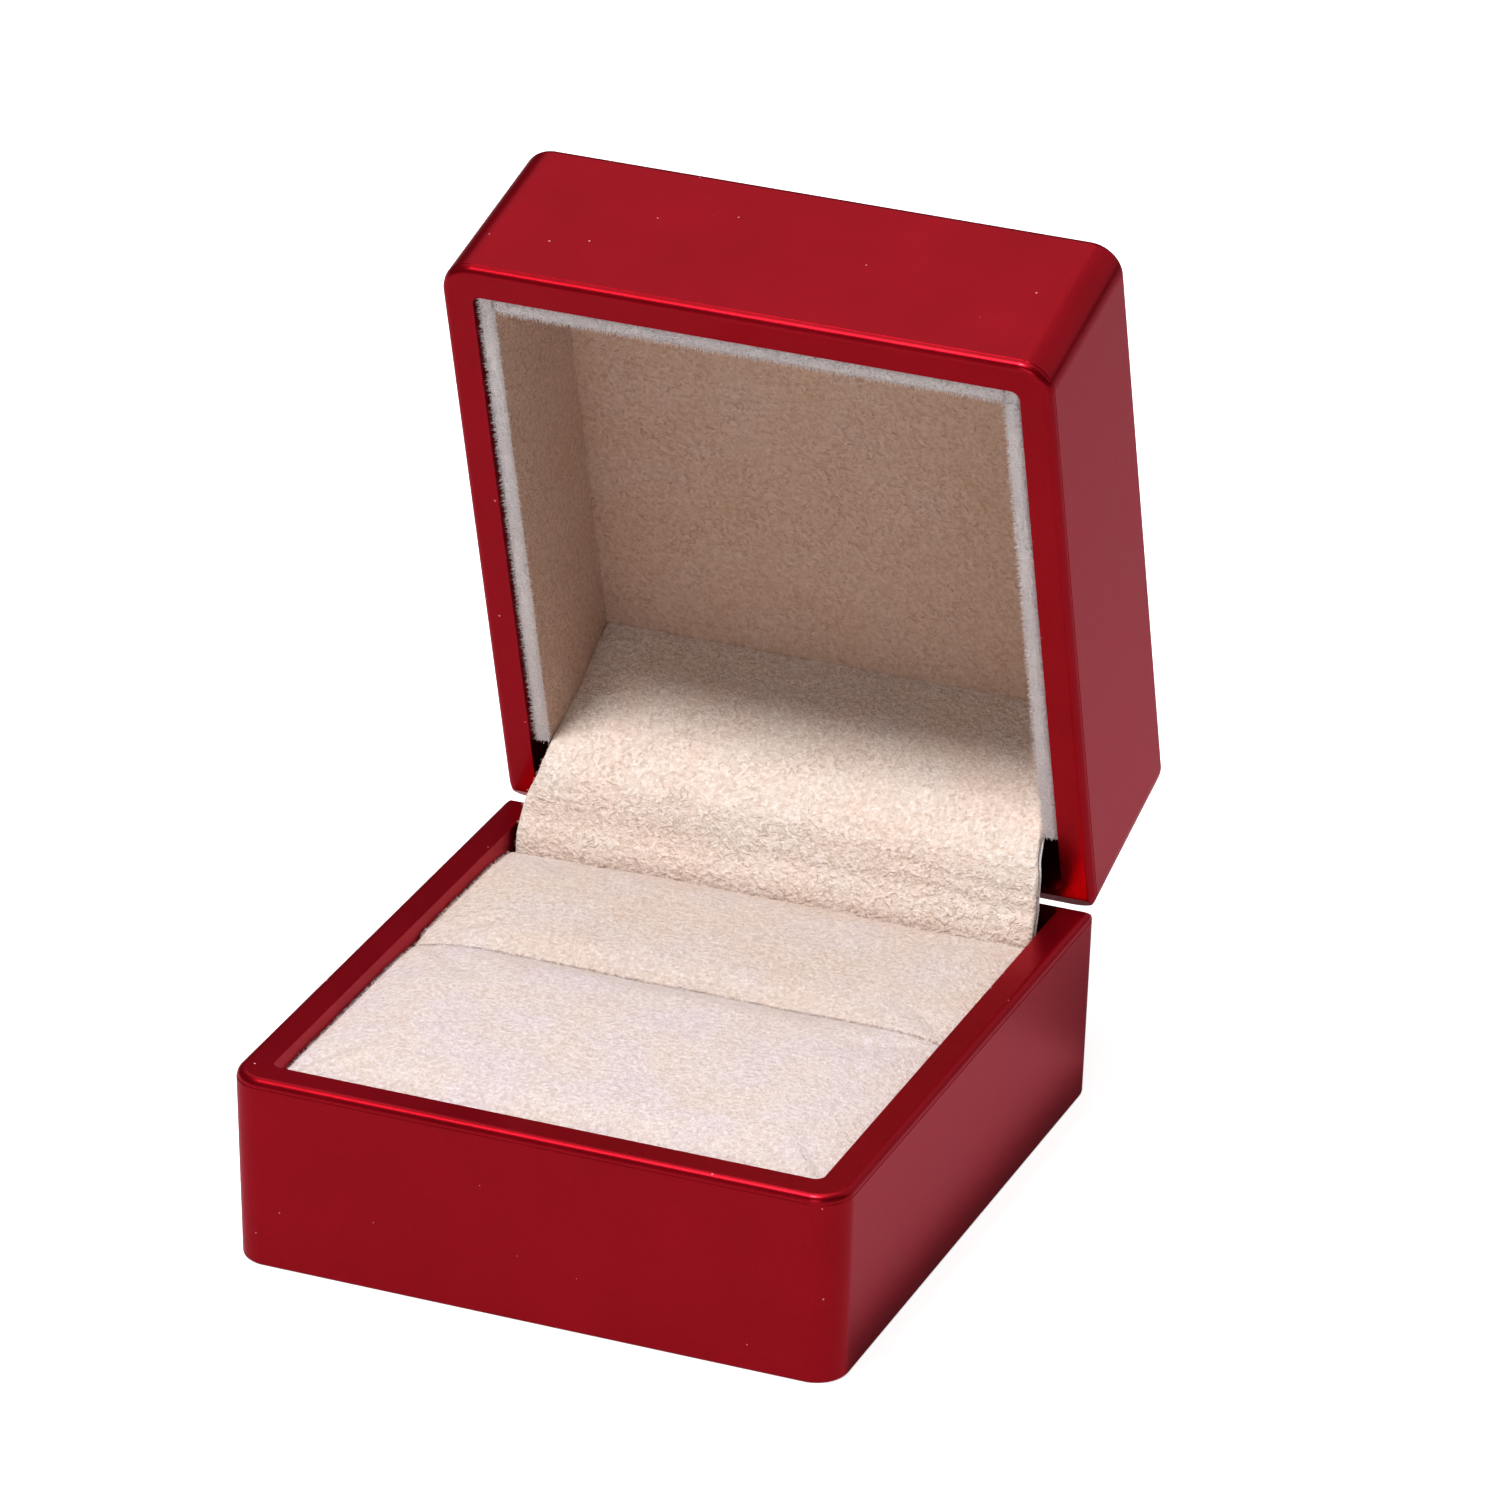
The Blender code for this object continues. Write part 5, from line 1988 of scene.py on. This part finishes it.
@dataclass
class Hardware:
    """The CAD pieces whose shape is final: they only get their finish."""

    steel: tuple[str, ...] = (
        "base_hinge_leaf", "lid_hinge_leaf", "hinge_pin",
        "base_leaf_screw_left", "base_leaf_screw_right",
        "lid_leaf_screw_left", "lid_leaf_screw_right",
        "spring_rivet_left", "spring_rivet_right",
    )
    spring: tuple[str, ...] = ("snap_spring",)
    board: tuple[str, ...] = (
        "pad_board", "lid_panel_board", "lid_left_liner_board", "lid_right_liner_board",
        "lid_front_liner_board", "lid_rear_card",
    )

    def dress(self, finishes: FinishSet) -> None:
        """Give each carried node its material.

        Args:
            finishes: the materials.
        """
        groups = (
            (self.steel, finishes.steel),
            (self.spring, finishes.spring),
            (self.board, finishes.board),
        )
        for names, material in groups:
            for name in names:
                mesh = frame["nodes"][name].data
                mesh.materials.clear()
                mesh.materials.append(material)
                LOG.info("%s: CAD shape with %s", name, material.name)


# ---------------------------------------------------------------- studio


@dataclass(frozen=True)
class Softbox:
    """A rectangular studio light aimed at the box."""

    name: str
    azimuth: float
    elevation: float
    distance: float
    width: float
    height: float
    power: float
    colour: tuple[float, float, float] = (1.0, 1.0, 1.0)

    def build(self, target: Vector) -> None:
        """Add the light; azimuth 0 is in front, and positive is to the right.

        Args:
            target: the point that it is aimed at.
        """
        turn = math.radians(self.azimuth)
        rise = math.radians(self.elevation)
        away = Vector(
            (math.sin(turn) * math.cos(rise), -math.cos(turn) * math.cos(rise), math.sin(rise))
        )
        lamp = bpy.data.lights.new(self.name, "AREA")
        lamp.shape = "RECTANGLE"
        lamp.size = self.width
        lamp.size_y = self.height
        lamp.energy = self.power
        lamp.color = self.colour
        obj = bpy.data.objects.new(self.name, lamp)
        obj.location = target + away * self.distance
        obj.rotation_euler = away.to_track_quat("Z", "Y").to_euler()
        bpy.context.scene.collection.objects.link(obj)


@dataclass
class Studio:
    """The camera, the pale floor and the soft lights."""

    azimuth: float = math.radians(22.1975)
    elevation: float = math.radians(25.5688)
    roll: float = math.radians(0.8591)
    distance: float = 861.19 * MM
    target: Vector = field(
        default_factory=lambda: Vector((4.951 * MM, 6.0 * MM, 41.485 * MM))
    )
    lens: float = 226.6
    sensor: float = 36.0
    floor_half: float = 30.0
    seen_floor: tuple[float, float, float] = (-0.01 * MM, 0.9, 0.76)
    bounce_floor: tuple[float, float, float] = (-0.6 * MM, 0.58, 0.0)
    world_grey: float = 0.03
    softboxes: tuple[Softbox, ...] = (
        Softbox("key_softbox", -22.0, 68.2, 1.0, 0.16, 0.16, 11.3),
        Softbox("overhead_softbox", 0.0, 95.0, 1.2, 0.9, 0.9, 3.5),
        Softbox("rear_softbox", -146.0, 52.0, 1.3, 0.9, 0.9, 2.0),
        Softbox("front_fill", 4.0, 12.0, 1.6, 0.9, 0.5, 3.8),
        Softbox("right_rear_softbox", 140.0, 35.0, 1.3, 1.4, 1.4, 3.4),
    )

    def add_camera(self) -> None:
        """Add the camera and make it the scene's."""
        turn, rise, roll = self.azimuth, self.elevation, self.roll
        back = Vector(
            (math.sin(turn) * math.cos(rise), -math.cos(turn) * math.cos(rise), math.sin(rise))
        )
        right = Vector((math.cos(turn), math.sin(turn), 0.0))
        up = back.cross(right)
        x_axis = right * math.cos(roll) + up * math.sin(roll)
        y_axis = up * math.cos(roll) - right * math.sin(roll)
        lens = bpy.data.cameras.new("camera")
        lens.lens = self.lens
        lens.sensor_width = self.sensor
        camera = bpy.data.objects.new("camera", lens)
        aim = Matrix((x_axis, y_axis, back)).transposed().to_4x4()
        camera.matrix_world = Matrix.Translation(self.target + back * self.distance) @ aim
        bpy.context.scene.collection.objects.link(camera)
        bpy.context.scene.camera = camera

    def add_floor(self, name: str, z: float, grey: float, glow: float) -> bpy.types.Object:
        """Add a plain level floor.

        Args:
            name: the floor's name.
            z: its height.
            grey: how pale it is.
            glow: how much light it gives, like a lit table.

        Returns:
            The floor, which isn't part of the object.
        """
        bm = bmesh.new()
        bmesh.ops.create_grid(bm, x_segments=1, y_segments=1, size=self.floor_half)
        bmesh.ops.translate(bm, verts=bm.verts, vec=(0.0, 0.0, z))
        floor = link_object(name, bm)
        material, _, shader = new_material(name)
        shader.inputs["Base Color"].default_value = (grey, grey, grey, 1.0)
        shader.inputs["Roughness"].default_value = 1.0
        shader.inputs["Specular IOR Level"].default_value = 0.0
        shader.inputs["Emission Color"].default_value = (1.0, 1.0, 1.0, 1.0)
        shader.inputs["Emission Strength"].default_value = glow
        floor.data.materials.append(material)
        return floor

    def build(self) -> None:
        """Set up the camera, the lights, and the seen floor over one that only bounces light."""
        self.add_camera()
        seen = self.add_floor("pale_floor", *self.seen_floor)
        seen.visible_glossy = False
        seen.visible_diffuse = False
        seen.visible_shadow = False
        bounce = self.add_floor("bounce_floor", *self.bounce_floor)
        bounce.visible_camera = False
        for softbox in self.softboxes:
            softbox.build(self.target)
        world = bpy.data.worlds.new("studio")
        world.use_nodes = True
        grey = (self.world_grey,) * 3
        world.node_tree.nodes["Background"].inputs[0].default_value = (*grey, 1.0)
        bpy.context.scene.world = world
        bpy.context.scene.view_settings.view_transform = "Standard"


# ---------------------------------------------------------------- the whole box


def main() -> None:
    """Build every sub-assembly in order."""
    logging.basicConfig(level=logging.INFO, format="%(message)s")
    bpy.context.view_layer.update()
    Studio().build()
    finishes = FinishSet()
    Hardware().dress(finishes)
    shells = ShellSet()
    shells.build_base(finishes)
    shells.build_lid(finishes)
    RingPads().build(finishes)
    lining = LidLining()
    lining.build_liners(finishes)
    lining.build_panel(finishes)
    Curtain().build(finishes)


if __name__ == "__main__":
    main()
